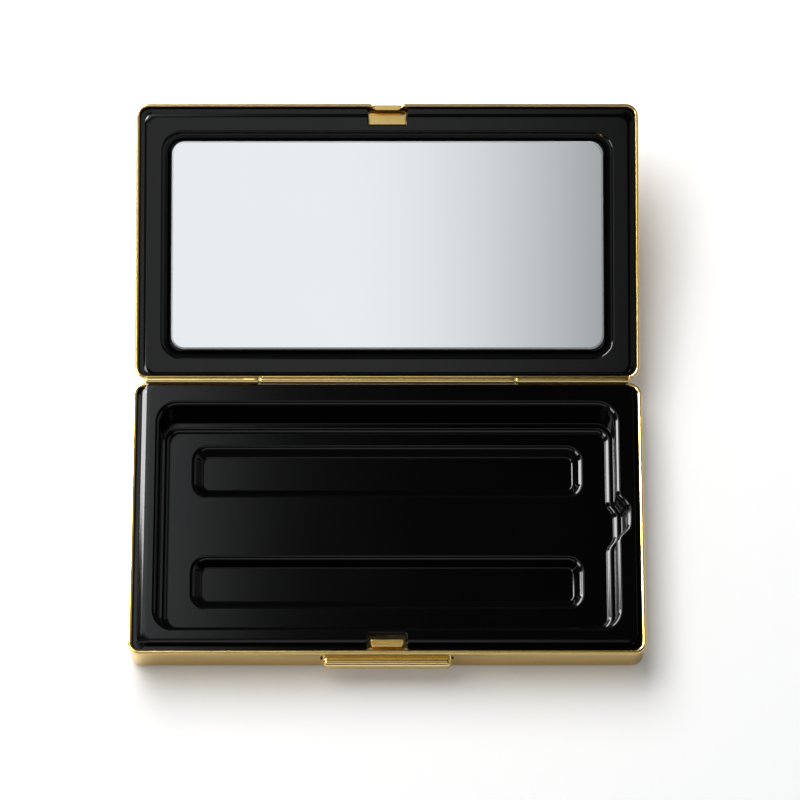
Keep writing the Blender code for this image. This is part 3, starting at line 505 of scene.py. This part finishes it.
def frameOutside(bm, low, high, look):
    # rounded outer edge and skirt of a liner, from its open top down to the flange at its foot
    left, right, near, far = look["edges"]
    corner = look["corner"]
    flat = look["edgeFlat"]
    last = math.radians(look["edgeTurn"])
    edgeArcs = 12
    footArcs = 5
    border = opened(bm, plate(bm, low.x + left + flat, high.x - right - flat, low.y + near + flat,
                              high.y - far - flat, high.z, corner, arcs=16))
    # each step: how far out to the left, right, front and rear, the share of the edge's fall, and the drop
    steps = [(-flat, -flat, -flat, -flat, 0, 0)]
    for step in range(edgeArcs + 1):
        turn = last * step / edgeArcs
        out = math.sin(turn) / math.sin(last)
        steps.append((left * out, right * out, near * out, far * out,
                      (1 - math.cos(turn)) / (1 - math.cos(last)), 0))
    for step in range(footArcs + 1):
        turn = math.pi / 2 * step / footArcs
        out = look["foot"] * (1 - math.cos(turn))
        steps.append((left + out, right + out, near + out, far + out, math.cos(turn) if step else 1,
                      look["skirt"] - look["foot"] * (1 - math.sin(turn)) if step else 0))
    side = look["flareSide"]
    steps.append((left + side, right + side, near + look["flareLow"], far + look["flareHigh"], 0,
                  look["skirt"]))
    middle = (low.y + high.y) / 2
    for here, ahead in zip(steps, steps[1:]):
        border, verts = grown(bm, border)
        for vert in verts:
            east = vert.co.x > 0
            north = vert.co.y > middle
            # how squarely the outline faces left or right here, and front or rear
            turnX = (vert.co.x - (high.x - right - corner + here[1])) if east else (
                low.x + left + corner - here[0] - vert.co.x)
            turnY = (vert.co.y - (high.y - far - corner + here[3])) if north else (
                low.y + near + corner - here[2] - vert.co.y)
            shareX = max(turnX, 0) ** 2
            shareY = max(turnY, 0) ** 2
            fallX = look["falls"][1 if east else 0]
            fallY = look["falls"][3 if north else 2]
            fall = (fallX * shareX + fallY * shareY) / (shareX + shareY)
            vert.co.x += ahead[1] - here[1] if east else here[0] - ahead[0]
            vert.co.y += ahead[3] - here[3] if north else here[2] - ahead[2]
            vert.co.z = high.z - max(ahead[5], fall * ahead[4])


def notchSpread(bm, look, top):
    # spreads the tray's right wall outwards at the finger notch: an S at each end, a bow between
    rows = look["notchRows"]
    wall = [face for face in bm.faces
            if all(look["notchFrom"] < vert.co.x < look["notchTo"] for vert in face.verts)]
    geom = grouped(wall)
    for row in range(rows + 1):
        station = look["notchCentre"] + (look["notchHalf"] + look["notchDrop"]) * (2 * row / rows - 1)
        geom = scored(bm, geom, (0, station, 0), (0, 1, 0))
    for vert in pick(geom, bmesh.types.BMVert):
        deep = share((top - vert.co.z) / look["ledgeDepth"])
        reach = look["notchReach"] + (look["notchLedgeReach"] - look["notchReach"]) * deep
        away = abs(vert.co.y - look["notchCentre"] + look["notchDrop"] * deep)
        ramp = share((look["notchHalf"] - away) / look["notchBlend"])
        ramp = 2 * ramp * ramp if ramp < 0.5 else 1 - 2 * (1 - ramp) ** 2
        vert.co.x += reach * ramp * (1 - look["notchBow"] * (1 - deep) * (away / look["notchHalf"]) ** 2)


def baseLiner():
    look = {"sheet": 0.5 * mm, "corner": 2.1 * mm, "skirt": 1.6 * mm, "foot": 0.03 * mm,
            "edges": (2.1 * mm, 0.55 * mm, 1.3 * mm, 0.35 * mm), "edgeTurn": 60, "edgeFlat": 0.15 * mm,
            "falls": (0.6 * mm, 0.1 * mm, 0.16 * mm, 0.06 * mm),
            "flareSide": 0.83 * mm, "flareLow": 1.38 * mm, "flareHigh": 0.5 * mm, "rearRound": 0.43 * mm,
            "frameSide": 4.5 * mm, "frameFront": 3.97 * mm, "frameRear": 5.08 * mm, "trayCorner": 4.2 * mm,
            "rim": 1.1 * mm, "wallRun": 0.0, "rearWallRun": 2.4 * mm, "ledgeDepth": 6.9 * mm,
            "wallFoot": 0.2 * mm, "ledgeWidth": 1.3 * mm, "ledgeRound": 1.4 * mm, "browRun": 0.53 * mm,
            "browFall": 0.414 * mm, "browRound": 0.2 * mm, "stepRun": 0.12 * mm, "stepFoot": 0.15 * mm,
            "rearRatio": 1.15, "trayDepth": 8.0 * mm,
            "pocketEnd": 5.95 * mm, "pocketFront": 4.98 * mm, "pocketRear": 3.42 * mm,
            "pocketRib": 15.3 * mm, "pocketCorner": 3.3 * mm, "pocketEdge": 1.65 * mm,
            "pocketSlope": 47, "pocketFoot": 0.5 * mm,
            "windowHalf": 4.82 * mm, "windowRear": -27.8 * mm, "windowCorner": 0.7 * mm,
            "bend": 0.45 * mm, "turn": 0.5 * mm, "notchCentre": 0.3 * mm, "notchHalf": 6.2 * mm,
            "notchDrop": 0.6 * mm, "notchBlend": 4.0 * mm, "notchBow": 0.4, "notchReach": 2.6 * mm,
            "notchLedgeReach": 1.7 * mm, "notchRows": 96, "rearTrim": 0.4 * mm,
            "rearCorner": 3.0 * mm, "rearWall": 1.15 * mm, "hair": 0.01 * mm}
    low, high = measured("base_liner")
    bottom = low.z
    low += Vector((look["flareSide"], look["flareLow"], 0))
    high += Vector((-look["flareSide"], look["rearRound"], 0))
    look["front"] = low.y
    bm = bmesh.new()
    frameOutside(bm, low, high, look)
    shellRear = measured("base_shell")[1].y
    # no flange along the rear wall
    flangeEnd = [face for face in bm.faces if face.calc_center_median().y > shellRear - look["rearCorner"]
                 and max(vert.co.z for vert in face.verts) < high.z - look["skirt"] + look["foot"] + nearly]
    bmesh.ops.delete(bm, geom=flangeEnd, context="FACES")
    frameWindow(bm, look, -1)
    trayStart = look["rim"] * 1.01  # a little more than the rim's round takes
    side = high.x - look["frameSide"]
    front = low.y + look["frameFront"]
    rear = high.y - look["frameRear"]
    ledge = -look["ledgeDepth"]
    floor = -look["trayDepth"]
    ledgeEnd = look["wallRun"] + look["ledgeWidth"]
    brow = ledgeEnd + look["browRun"]
    run = brow + look["stepRun"]

    def rearShift(across, height):
        # the rear wall leans more than the others, and its ledge and step are wider
        lean = (look["rearWallRun"] - look["wallRun"]) * min(-height / look["ledgeDepth"], 1)
        return lean + max(across - trayStart - look["wallRun"], 0) * (look["rearRatio"] - 1)

    tray = plate(bm, -side - trayStart, side + trayStart, front - trayStart, rear + trayStart, high.z,
                 look["trayCorner"] + trayStart, arcs=16)
    sink(bm, tray, [(across + trayStart, height) for across, height in rounded((
        (-trayStart, 0, 0), (0, 0, look["rim"]), (look["wallRun"], ledge, look["wallFoot"]),
        (ledgeEnd, ledge, look["ledgeRound"]), (brow, ledge - look["browFall"], look["browRound"]),
        (run, floor, look["stepFoot"]), (run + look["sheet"], floor, 0)), steps=8)], rearShift)
    look["notchFrom"] = side - run - look["sheet"] - look["hair"]
    look["notchTo"] = side + trayStart + look["hair"]
    notchSpread(bm, look, high.z)
    tray = min((face for face in bm.faces if face.calc_area() > side * rear),
               key=lambda face: face.calc_center_median().z)
    opened(bm, tray)
    slope = math.radians(look["pocketSlope"])
    start = look["pocketEdge"] * math.tan(slope / 2) * 1.02  # and the pocket edge's
    depth = high.z - look["trayDepth"] - look["sheet"] - bottom
    fall = depth / math.tan(slope)
    floorFront = front + run + look["pocketFront"]
    floorRear = rear - look["rearWallRun"] - (run - look["wallRun"]) * look["rearRatio"] - look["pocketRear"]
    width = (floorRear - floorFront - look["pocketRib"]) / 2
    half = side - run - look["pocketEnd"]
    for y in (floorFront, floorRear - width):
        pocket = plate(bm, -half - start, half + start, y - start, y + width + start, high.z + floor,
                       look["pocketCorner"] + start, arcs=10)
        sink(bm, pocket, [(across + start, height) for across, height in rounded((
            (-start, 0, 0), (0, 0, look["pocketEdge"]), (fall, -depth, look["pocketFoot"]),
            (fall + look["pocketFoot"], -depth, 0)), steps=8)])
        filled(bm, opened(bm, pocket))
    for height in (high.z + floor, high.z):
        filled(bm, flatOutlines(bm, height))
    faceUp(bm)
    bendDown(bm, look, -1)
    faceUp(bm)
    # the rear of the skirt stays inside the shell's wall
    wall = shellRear - look["rearWall"]
    for vert in bm.verts:
        if vert.co.z < high.z - look["rearTrim"] and vert.co.y > wall:
            vert.co.y = wall
    addPiece("base_liner_tray", bm, [black], "base", ["base_liner"], sheet=look["sheet"])


def lidLiner():
    look = {"sheet": 0.5 * mm, "corner": 2.1 * mm, "skirt": 1.6 * mm, "foot": 0.15 * mm,
            "edges": (1.3 * mm, 0.75 * mm, 0.5 * mm, 1.0 * mm), "edgeTurn": 60, "edgeFlat": 0.15 * mm,
            "falls": (0.3 * mm, 0.12 * mm, 0.06 * mm, 0.15 * mm),
            "flareSide": 0.98 * mm, "flareLow": 0.33 * mm, "flareHigh": 1.38 * mm,
            "frameSide": 4.25 * mm, "frameFront": 4.3 * mm, "frameRear": 3.75 * mm,
            "recessCorner": 4.6 * mm, "recessDepth": 2.2 * mm, "recessRun": 1.8 * mm,
            "recessEdge": 0.7 * mm, "recessFoot": 0.4 * mm, "windowHalf": 4.77 * mm,
            "windowDepth": 2.85 * mm, "windowCorner": 0.5 * mm, "bend": 0.35 * mm, "turn": 0.35 * mm}
    low, high = measured("lid_liner", lidPlace)
    low += Vector((look["flareSide"], look["flareLow"], 0))
    high -= Vector((look["flareSide"], look["flareHigh"], 0))
    look["front"] = high.y
    look["windowRear"] = high.y - look["windowDepth"]
    bm = bmesh.new()
    frameOutside(bm, low, high, look)
    frameWindow(bm, look, 1)
    start = look["recessEdge"] * 0.55  # a little more than the edge's round takes
    side = high.x - look["frameSide"] + start
    recess = plate(bm, -side, side, low.y + look["frameRear"] - start, high.y - look["frameFront"] + start,
                   high.z, look["recessCorner"] + start, arcs=16)
    sink(bm, recess, [(across + start, height) for across, height in rounded((
        (-start, 0, 0), (0, 0, look["recessEdge"]),
        (look["recessRun"], -look["recessDepth"], look["recessFoot"]),
        (look["recessRun"] + look["sheet"], -look["recessDepth"], 0)), steps=6)])
    filled(bm, flatOutlines(bm, high.z))
    faceUp(bm)
    bendDown(bm, look, 1)
    faceUp(bm)
    addPiece("lid_liner_frame", bm, [black], "lid", ["lid_liner"], lidPlace, look["sheet"])


def mirrorGlass():
    look = {"corner": 3.2 * mm, "chamfer": 0.22 * mm, "chamferRun": 0.38 * mm, "arris": 0.05 * mm,
            "silverFrom": 0.97}
    low, high = measured("mirror", lidPlace)
    bm = bmesh.new()
    back = plate(bm, low.x, high.x, low.y, high.y, low.z, look["corner"], arcs=16)
    front = slab(bm, back, high.z - low.z - look["chamfer"])[0]
    run = look["chamferRun"]
    rise = look["chamfer"]
    sink(bm, front, rounded((
        (0, 0, 0), (run, rise, look["arris"]), (run + look["arris"] * 2, rise, 0)), steps=3))
    # faces that look this squarely forwards are silver, and the rest is ground glass
    for side in bm.faces:
        side.material_index = 0 if side.normal.z > look["silverFrom"] else 1
    addPiece("mirror_plate", bm, [silver, edgeGlass], "lid", ["mirror"], lidPlace)


def hingeRelief(look, rear, inwards, axisHeight, top):
    # the room that a shell's rear wall leaves for the hinge: inwards is 1 towards higher Y, else -1
    half = look["reliefGap"] - measured("hinge_knuckle_left")[0].x
    near, far = sorted((rear - inwards * mm, rear + inwards * look["reliefReach"]))
    return box(-half, half, near, far, axisHeight - look["reliefDrop"], top + mm)


def cutFront(bm, front, spot, normal):
    # one more row of points across the front wall
    strip = [face for face in bm.faces if all(vert.co.y > front for vert in face.verts)]
    scored(bm, grouped(strip), spot, normal)


def lidShell():
    look = {"corner": 3.0 * mm, "sheet": 0.6 * mm, "bead": 0.15 * mm, "beadHeight": 1.0 * mm,
            "beadSoftness": 0.3, "lipRound": 0.36 * mm, "floorRound": 1.6 * mm, "reliefDrop": 1.35 * mm,
            "reliefGap": 0.2 * mm, "reliefReach": 3 * mm, "dentHalf": 4.15 * mm, "dentRamp": 1.0 * mm,
            "dentRows": 6, "dentOuter": 0.75 * mm, "dentInner": 0.45 * mm, "dentDepth": 1.4 * mm,
            "dentFade": 0.5 * mm, "tongueHalf": 3.0 * mm, "tongueSheet": 0.45 * mm,
            "tongueSkin": 0.02 * mm, "catchReach": 1.09 * mm, "catchHigh": 0.35 * mm,
            "catchRound": 0.49 * mm, "arris": 0.05 * mm, "arrisAngle": 50}
    low, high = measured("lid_shell", lidPlace)
    rim = measured("base_shell")[1].z - hingeLine.z
    tip = high.z
    high.z = rim
    bm = pressedShell(low, high, look)
    rows = look["dentRows"]
    stations = [look["dentHalf"] - look["dentRamp"] * row / rows for row in range(rows + 1)]
    front = high.y - look["sheet"] * 3  # the front wall lies past this
    for x in [-station for station in stations] + stations:
        cutFront(bm, front, (x, 0, 0), (1, 0, 0))
    for drop in (look["dentDepth"], look["dentDepth"] + look["dentFade"]):
        cutFront(bm, front, (0, 0, rim - drop), (0, 0, 1))
    lip = look["bead"] + look["sheet"]
    for vert in bm.verts:
        if vert.co.y > front:
            ramp = share((look["dentHalf"] - abs(vert.co.x)) / look["dentRamp"])
            fade = share((vert.co.z - rim + look["dentDepth"] + look["dentFade"]) / look["dentFade"])
            across = share((high.y - vert.co.y) / lip)
            step = look["dentOuter"] + (look["dentInner"] - look["dentOuter"]) * across
            vert.co.y -= step * ramp * ramp * (3 - 2 * ramp) * fade
    piece = addPiece("lid_shell_metal", bm, [gold], "lid", ["lid_shell"], lidPlace)
    carve(piece, hingeRelief(look, low.y, 1, 0, rim), "DIFFERENCE", lidPlace)
    # the tongue goes on from the dent into the base, and its edge is hooked
    face = high.y - look["dentOuter"]
    tongue = box(-look["tongueHalf"], look["tongueHalf"], face - look["tongueSheet"],
                 face - look["tongueSkin"], rim - look["dentDepth"], tip)
    catch = box(-look["tongueHalf"], look["tongueHalf"], face - look["catchReach"],
                face - look["tongueSheet"] * 0.5, tip - look["catchHigh"], tip)
    ends = [edge for edge in edgesAlong(catch, 2) if edge.verts[0].co.y < face - look["tongueSheet"]]
    soften(catch, ends, look["catchRound"], segments=5)
    carve(piece, tongue, "UNION", lidPlace)
    carve(piece, catch, "UNION", lidPlace)
    arris(piece, look["arris"], angle=look["arrisAngle"])


def barBody():
    # the part of the thumb bar in front of its flange
    low, high = measured("thumb_bar")
    look = {"side": 1.1 * mm, "low": 1.1 * mm, "high": 0.3 * mm}
    return {"half": high.x - look["side"], "front": low.y, "back": high.y,
            "low": low.z + look["low"], "high": high.z - look["high"]}


def baseShell():
    look = {"corner": 3.0 * mm, "sheet": 0.8 * mm, "bead": 0.15 * mm, "beadHeight": 1.0 * mm,
            "beadSoftness": 0.3, "lipRound": 0.46 * mm, "floorRound": 1.6 * mm, "slotEnd": 0.6 * mm,
            "slotSide": 0.3 * mm, "slotRound": 0.9 * mm, "slotReach": 2 * mm, "reliefDrop": 1.35 * mm,
            "reliefGap": 0.2 * mm, "reliefReach": 3 * mm}
    low, high = measured("base_shell")
    piece = addPiece("base_shell_metal", pressedShell(low, high, look), [gold], "base",
                     ["base_shell"])
    carve(piece, hingeRelief(look, high.y, -1, hingeLine.z, high.z), "DIFFERENCE")
    body = barBody()
    half = body["half"] + look["slotEnd"]
    slot = box(-half, half, low.y - mm, low.y + look["slotReach"], body["low"] - look["slotSide"],
               body["high"] + look["slotSide"])
    soften(slot, edgesAlong(slot, 1), look["slotRound"], segments=6)
    carve(piece, slot, "DIFFERENCE")


def turned(profile, steps=48):
    # a closed profile of (along X, radius) points, turned round the hinge's line
    bm = bmesh.new()
    verts = [bm.verts.new((x, 0, radius)) for x, radius in profile]
    edges = [bm.edges.new(pair) for pair in zip(verts, verts[1:] + verts[:1])]
    bmesh.ops.spin(bm, geom=verts + edges, cent=(0, 0, 0), axis=(1, 0, 0), angle=2 * math.pi,
                   steps=steps, use_merge=True)
    bmesh.ops.recalc_face_normals(bm, faces=bm.faces)
    return bm


def hinge():
    look = {"radius": 0.79 * mm, "bore": 0.5 * mm, "pin": 0.42 * mm, "pinRound": 0.21 * mm,
            "endRound": 0.25 * mm, "flare": 0.09 * mm, "flareLength": 3.6 * mm, "flareFade": 1.2 * mm,
            "flareRound": 0.48 * mm, "seatNear": 0.5 * mm, "seatEnd": 0.55 * mm, "seatHigh": 0.6 * mm,
            "seatEdge": 0.06 * mm}
    radius = look["radius"]
    knuckles = (("hinge_knuckle_left", "base", hingePlace, look["flare"]),
                ("hinge_knuckle_right", "base", hingePlace, 0),
                ("hinge_knuckle_lid", "lid", lidPlace, 0))
    for node, body, place, flare in knuckles:
        low, high = measured(node, place)
        rim = rounded(((low.x, look["bore"], 0), (low.x, radius, look["endRound"]),
                       (high.x - look["flareLength"], radius, look["flareFade"]),
                       (high.x - look["flareFade"], radius + flare, look["flareRound"]),
                       (high.x, radius + flare, look["endRound"]), (high.x, look["bore"], 0)))
        piece = addPiece(node.replace("hinge_", "") + "_tube", turned(rim), [gold], body,
                         [node], place)
        near = low.y if body == "base" else high.y
        ys = sorted((near, math.copysign(look["seatNear"], near)))
        seat = box(low.x + look["seatEnd"], high.x - look["seatEnd"], *ys, low.z, -look["seatHigh"])
        soften(seat, seat.edges[:], look["seatEdge"], segments=2)
        carve(piece, seat, "UNION", place)
    low, high = measured("hinge_pin")
    rod = turned(rounded(((low.x, 0, 0), (low.x, look["pin"], look["pinRound"]),
                          (high.x, look["pin"], look["pinRound"]), (high.x, 0, 0))), steps=24)
    addPiece("hinge_pin_rod", rod, [steel], "base", ["hinge_pin"], hingePlace)


def drawn(outline, x0, x1):
    # a side profile of (y, z) points, drawn out along X
    bm = bmesh.new()
    verts = [bm.verts.new((x0, y, z)) for y, z in outline]
    edges = [bm.edges.new(pair) for pair in zip(verts, verts[1:] + verts[:1])]
    end = bmesh.ops.contextual_create(bm, geom=edges)["faces"]
    made = bmesh.ops.extrude_face_region(bm, geom=end, use_keep_orig=True)["geom"]
    bmesh.ops.translate(bm, vec=(x1 - x0, 0, 0), verts=pick(made, bmesh.types.BMVert))
    bmesh.ops.recalc_face_normals(bm, faces=bm.faces)
    return bm


def thumbBar():
    look = {"round": 1.0 * mm, "flange": 1.1 * mm, "flangeRound": 0.2 * mm}
    body = barBody()
    low, high = measured("thumb_bar")
    bar = box(-body["half"], body["half"], body["front"], body["back"] - look["flange"] / 2,
              body["low"], body["high"])
    nose = body["front"] + look["round"]
    soften(bar, [edge for edge in bar.edges if min(vert.co.y for vert in edge.verts) < nose],
           look["round"], segments=8)
    piece = addPiece("thumb_bar_pressed", bar, [gold], "latch", ["thumb_bar"])
    flange = box(low.x, high.x, high.y - look["flange"], high.y, low.z, high.z)
    soften(flange, flange.edges[:], look["flangeRound"], segments=3)
    carve(piece, flange, "UNION")


def latchHook():
    # bends: the radius at each corner of the outline, from the sheet's foot up its back and round, in mm
    look = {"sheet": 0.5 * mm, "ridgeReach": 0.65 * mm, "ridgeHigh": 0.7 * mm, "ridgeWide": 0.75 * mm,
            "crease": 0.22 * mm, "creaseHalf": 0.16 * mm, "nose": 0.75 * mm, "noseFall": 0.04 * mm,
            "noseRound": 0.6 * mm, "noseRows": 6, "taper": 0.55 * mm, "shoulder": 0.1 * mm,
            "arris": 0.06 * mm, "bends": (0, 0.05, 0.4, 0.2, 0.22, 0.1, 0.04, 0.06, 0.28, 0.12, 0.05, 0)}
    low, high = measured("latch_hook")
    back = high.y
    top = high.z
    under = top - look["nose"]
    sheetBack = back - look["ridgeReach"]
    sheetFront = sheetBack - look["sheet"]
    crease = back - look["ridgeWide"] - look["creaseHalf"]
    corners = ((sheetFront, low.z), (sheetBack, low.z), (sheetBack, top - 2 * look["ridgeHigh"]),
               (back, top - look["ridgeHigh"]), (back, top), (crease + look["creaseHalf"], top),
               (crease, top - look["crease"]), (crease - look["creaseHalf"], top),
               (low.y, top - look["noseFall"]), (low.y, under), (sheetFront, under), (sheetFront, low.z))
    outline = rounded([(y, z, bend * mm) for (y, z), bend in zip(corners, look["bends"])], steps=4)[:-1]
    bm = drawn(outline, low.x, high.x)
    # the nose narrows on a round corner at each side
    rows = look["noseRows"]
    for row in range(rows + 1):
        cut = low.y + look["noseRound"] * (1 - math.cos(math.pi / 2 * row / rows))
        scored(bm, bm.verts[:] + bm.edges[:] + bm.faces[:], (0, cut, 0), (0, 1, 0))
    for vert in bm.verts:
        ahead = share((low.y + look["noseRound"] - vert.co.y) / look["noseRound"])
        inward = look["taper"] * (1 - math.sqrt(1 - ahead * ahead)) + look["shoulder"] * (ahead > 0)
        if vert.co.y < sheetFront:
            vert.co.x -= math.copysign(inward, vert.co.x)
    piece = addPiece("latch_hook_folded", bm, [gold], "latch", ["latch_hook"])
    arris(piece, look["arris"])


def latchStrike():
    look = {"sheet": 0.5 * mm, "bend": 0.9 * mm, "foot": 3.0 * mm, "footBend": 0.45 * mm,
            "arris": 0.08 * mm}
    low, high = measured("latch_strike", lidPlace)
    bm = bmesh.new()
    path = rounded(((low.y, high.z, 0), (high.y, high.z, look["bend"]),
                    (high.y, low.z, look["footBend"]), (high.y - look["foot"], low.z, 0)), steps=6)
    verts = [bm.verts.new((low.x, y, z)) for y, z in path]
    edges = [bm.edges.new(pair) for pair in zip(verts, verts[1:])]
    made = bmesh.ops.extrude_edge_only(bm, edges=edges)["geom"]
    bmesh.ops.translate(bm, vec=(high.x - low.x, 0, 0), verts=pick(made, bmesh.types.BMVert))
    bmesh.ops.recalc_face_normals(bm, faces=bm.faces)
    bm.normal_update()
    if max(bm.faces, key=lambda face: face.calc_center_median().z).normal.z < 0:
        bmesh.ops.reverse_faces(bm, faces=bm.faces)
    bmesh.ops.solidify(bm, geom=bm.faces[:], thickness=look["sheet"])
    piece = addPiece("latch_strike_bent", bm, [gold], "lid", ["latch_strike"], lidPlace)
    arris(piece, look["arris"], segments=3)


def foamPieces():
    look = {"edge": 0.12 * mm, "edgeShare": 0.3}
    pads = (("base_pad_front", "base", basePlace), ("base_pad_rear", "base", basePlace),
            ("lid_pad_front", "lid", lidPlace), ("lid_pad_rear", "lid", lidPlace),
            ("mirror_tape", "lid", lidPlace))
    for node, body, place in pads:
        low, high = measured(node, place)
        pad = box(low.x, high.x, low.y, high.y, low.z, high.z)
        edge = min(look["edge"], (high.z - low.z) * look["edgeShare"])
        soften(pad, pad.edges[:], edge, segments=3)
        addPiece(node + "_foam", pad, [foam], body, [node], place)


baseShell()
lidShell()
print("shells ready")
baseLiner()
lidLiner()
mirrorGlass()
print("liners and mirror ready")
hinge()
thumbBar()
latchHook()
latchStrike()
foamPieces()
print("hinge, latch and foam ready")

# the solids that have no finished piece are steel
for node in frame["nodes"].values():
    node.data.materials.clear()
    node.data.materials.append(steel)


def camera():
    look = {"focus": 180, "sensor": 36, "elevation": 71.5, "target": (3.0 * mm, 28.65 * mm, 12.5 * mm),
            "distance": 943 * mm, "nearest": 10 * mm}
    angle = math.radians(look["elevation"])
    data = bpy.data.cameras.new("camera")
    data.lens = look["focus"]
    data.sensor_width = look["sensor"]
    data.clip_start = look["nearest"]
    eye = linked("camera", data)
    eye.location = (Vector(look["target"])
                    + Vector((0, -math.cos(angle), math.sin(angle))) * look["distance"])
    eye.rotation_euler = (math.pi / 2 - angle, 0, 0)
    bpy.context.scene.camera = eye


def lamp(name, aim, look):
    # a softbox: how bright its face looks, its width and height, where it hangs, which way is up, and
    # whether it gives the shine or the soft light
    data = bpy.data.lights.new(name, "AREA")
    data.shape = "RECTANGLE"
    data.size, data.size_y = look["size"]
    data.energy = look["glow"] * math.pi * data.size * data.size_y
    thing = linked(name, data)
    thing.location = look["place"]
    back = (Vector(look["place"]) - Vector(aim)).normalized()
    tall = Vector(look["tall"])
    tall = (tall - back * tall.dot(back)).normalized()
    thing.rotation_euler = Matrix((tall.cross(back), tall, back)).transposed().to_euler()
    thing.visible_camera = False
    thing.visible_diffuse = look["gives"] == "soft"
    thing.visible_glossy = look["gives"] == "shine"


def stagePiece(name, size, height, paint):
    # a level square of the stage
    bm = bmesh.new()
    bmesh.ops.create_grid(bm, x_segments=1, y_segments=1, size=size / 2)
    bmesh.ops.translate(bm, vec=(0, 0, height), verts=bm.verts)
    thing = linked(name, meshed(name, bm))
    thing.data.materials.append(paint.material)
    return thing


def scrim():
    # overhead diffuser: lit over the lid, fading to the right, the rear and the front, with a patch and
    # its halo at the rear left; each fade says where the light starts to fall and where it is gone
    look = {"height": 1.15, "size": 1.6, "glow": 1.0, "away": (0.95, 0.98, 1.0, 1),
            "near": (0.97, 0.985, 1.0, 1), "level": 0.94, "right": (-0.03, 0.23), "rear": (0.02, 0.17),
            "front": (0.12, 0.25), "patchLevel": 1.7, "patchRight": (-0.17, -0.05),
            "haloLevel": 0.15, "haloRight": (-0.11, 0.05), "patchFront": (-0.3, -0.15)}
    paint = Paint("scrim_cloth", {"Base Color": (0, 0, 0, 1), "Specular IOR Level": 0,
                                  "Emission Strength": look["glow"]})
    place = paint.add("ShaderNodeTexCoord", {}, {}, "Object")
    rightwards = paint.add("ShaderNodeSeparateXYZ", {}, {0: place}, "X")
    rearwards = paint.add("ShaderNodeSeparateXYZ", {}, {0: place}, "Y")
    forwards = rearwards * -1

    def fade(wire, name):
        bright, dark = look[name]
        return paint.add("ShaderNodeMapRange", {"interpolation_type": "SMOOTHSTEP"},
                         {0: wire, 1: bright, 2: dark, 3: 1.0, 4: 0.0})

    overLid = fade(rightwards, "right") * fade(rearwards, "rear")
    patch = (fade(rightwards, "patchRight") * look["patchLevel"]
             + fade(rightwards, "haloRight") * look["haloLevel"])
    level = overLid * fade(forwards, "front") * look["level"] + patch * fade(forwards, "patchFront")
    tone = paint.mixed(overLid, look["away"], look["near"])
    paint.feed("Emission Color", paint.add("ShaderNodeVectorMath", {"operation": "SCALE"},
                                           {0: tone, "Scale": level}))
    cloth = stagePiece("scrim", look["size"], look["height"], paint)
    cloth.visible_camera = False
    cloth.visible_shadow = False


def table():
    look = {"colour": (0.82, 0.82, 0.82, 1), "roughness": 0.9, "glow": (1, 1, 1, 1), "lift": 0.12,
            "size": 3.0, "height": -0.05 * mm}
    paint = Paint("table_white", {"Base Color": look["colour"], "Roughness": look["roughness"],
                                  "Emission Color": look["glow"]})
    seen = paint.add("ShaderNodeLightPath", {}, {}, "Is Camera Ray")
    paint.feed("Emission Strength", seen * look["lift"])
    stagePiece("table", look["size"], look["height"], paint)


def surroundings():
    # a plain white background for the camera, a dim room for shine and a lighter one for soft light
    look = {"room": 0.3, "shine": 0.06, "background": 1.0, "colour": (1, 1, 1, 1)}
    world = bpy.data.worlds.new("studio")
    bpy.context.scene.world = world
    world.use_nodes = True
    nodes = Nodes(world.node_tree)
    glossy = nodes.add("ShaderNodeLightPath", {}, {}, "Is Glossy Ray")
    seen = nodes.add("ShaderNodeLightPath", {}, {}, "Is Camera Ray")
    inside = nodes.add("ShaderNodeMix", {}, {0: glossy, 2: look["room"], 3: look["shine"]})
    level = nodes.add("ShaderNodeMix", {}, {0: seen, 2: inside, 3: look["background"]})
    background = world.node_tree.nodes["Background"]
    nodes.put(background.inputs["Strength"], level)
    nodes.put(background.inputs["Color"], look["colour"])


def studio():
    aim = (0, 0.03, 0)
    lamp("leftStrip", aim, {"glow": 24, "size": (0.16, 0.92), "place": (-0.76, 0.35, 0.55),
                            "tall": (0.59, 0, 0.81), "gives": "shine"})
    lamp("rearSoftbox", aim, {"glow": 20, "size": (0.5, 0.5), "place": (-0.52, 0.69, 0.76),
                              "tall": (0, 0, 1), "gives": "shine"})
    lamp("frontLeft", aim, {"glow": 11, "size": (0.3, 0.5), "place": (-0.66, -0.25, 0.72),
                            "tall": (0, 0, 1), "gives": "shine"})
    lamp("frontSoftbox", aim, {"glow": 1.0, "size": (1.5, 0.45), "place": (0, -0.9, 0.95),
                               "tall": (0, 0, 1), "gives": "shine"})
    lamp("rightFill", aim, {"glow": 0.45, "size": (0.9, 0.9), "place": (1.1, 0.1, 0.55),
                            "tall": (0, 0, 1), "gives": "shine"})
    lamp("sky", aim, {"glow": 6.0, "size": (0.6, 0.9), "place": (-0.27, 0.45, 0.8),
                      "tall": (0, 1, 0), "gives": "soft"})
    scrim()
    table()
    surroundings()


camera()
studio()
print("camera and studio ready")
bpy.context.scene.view_settings.view_transform = "Standard"
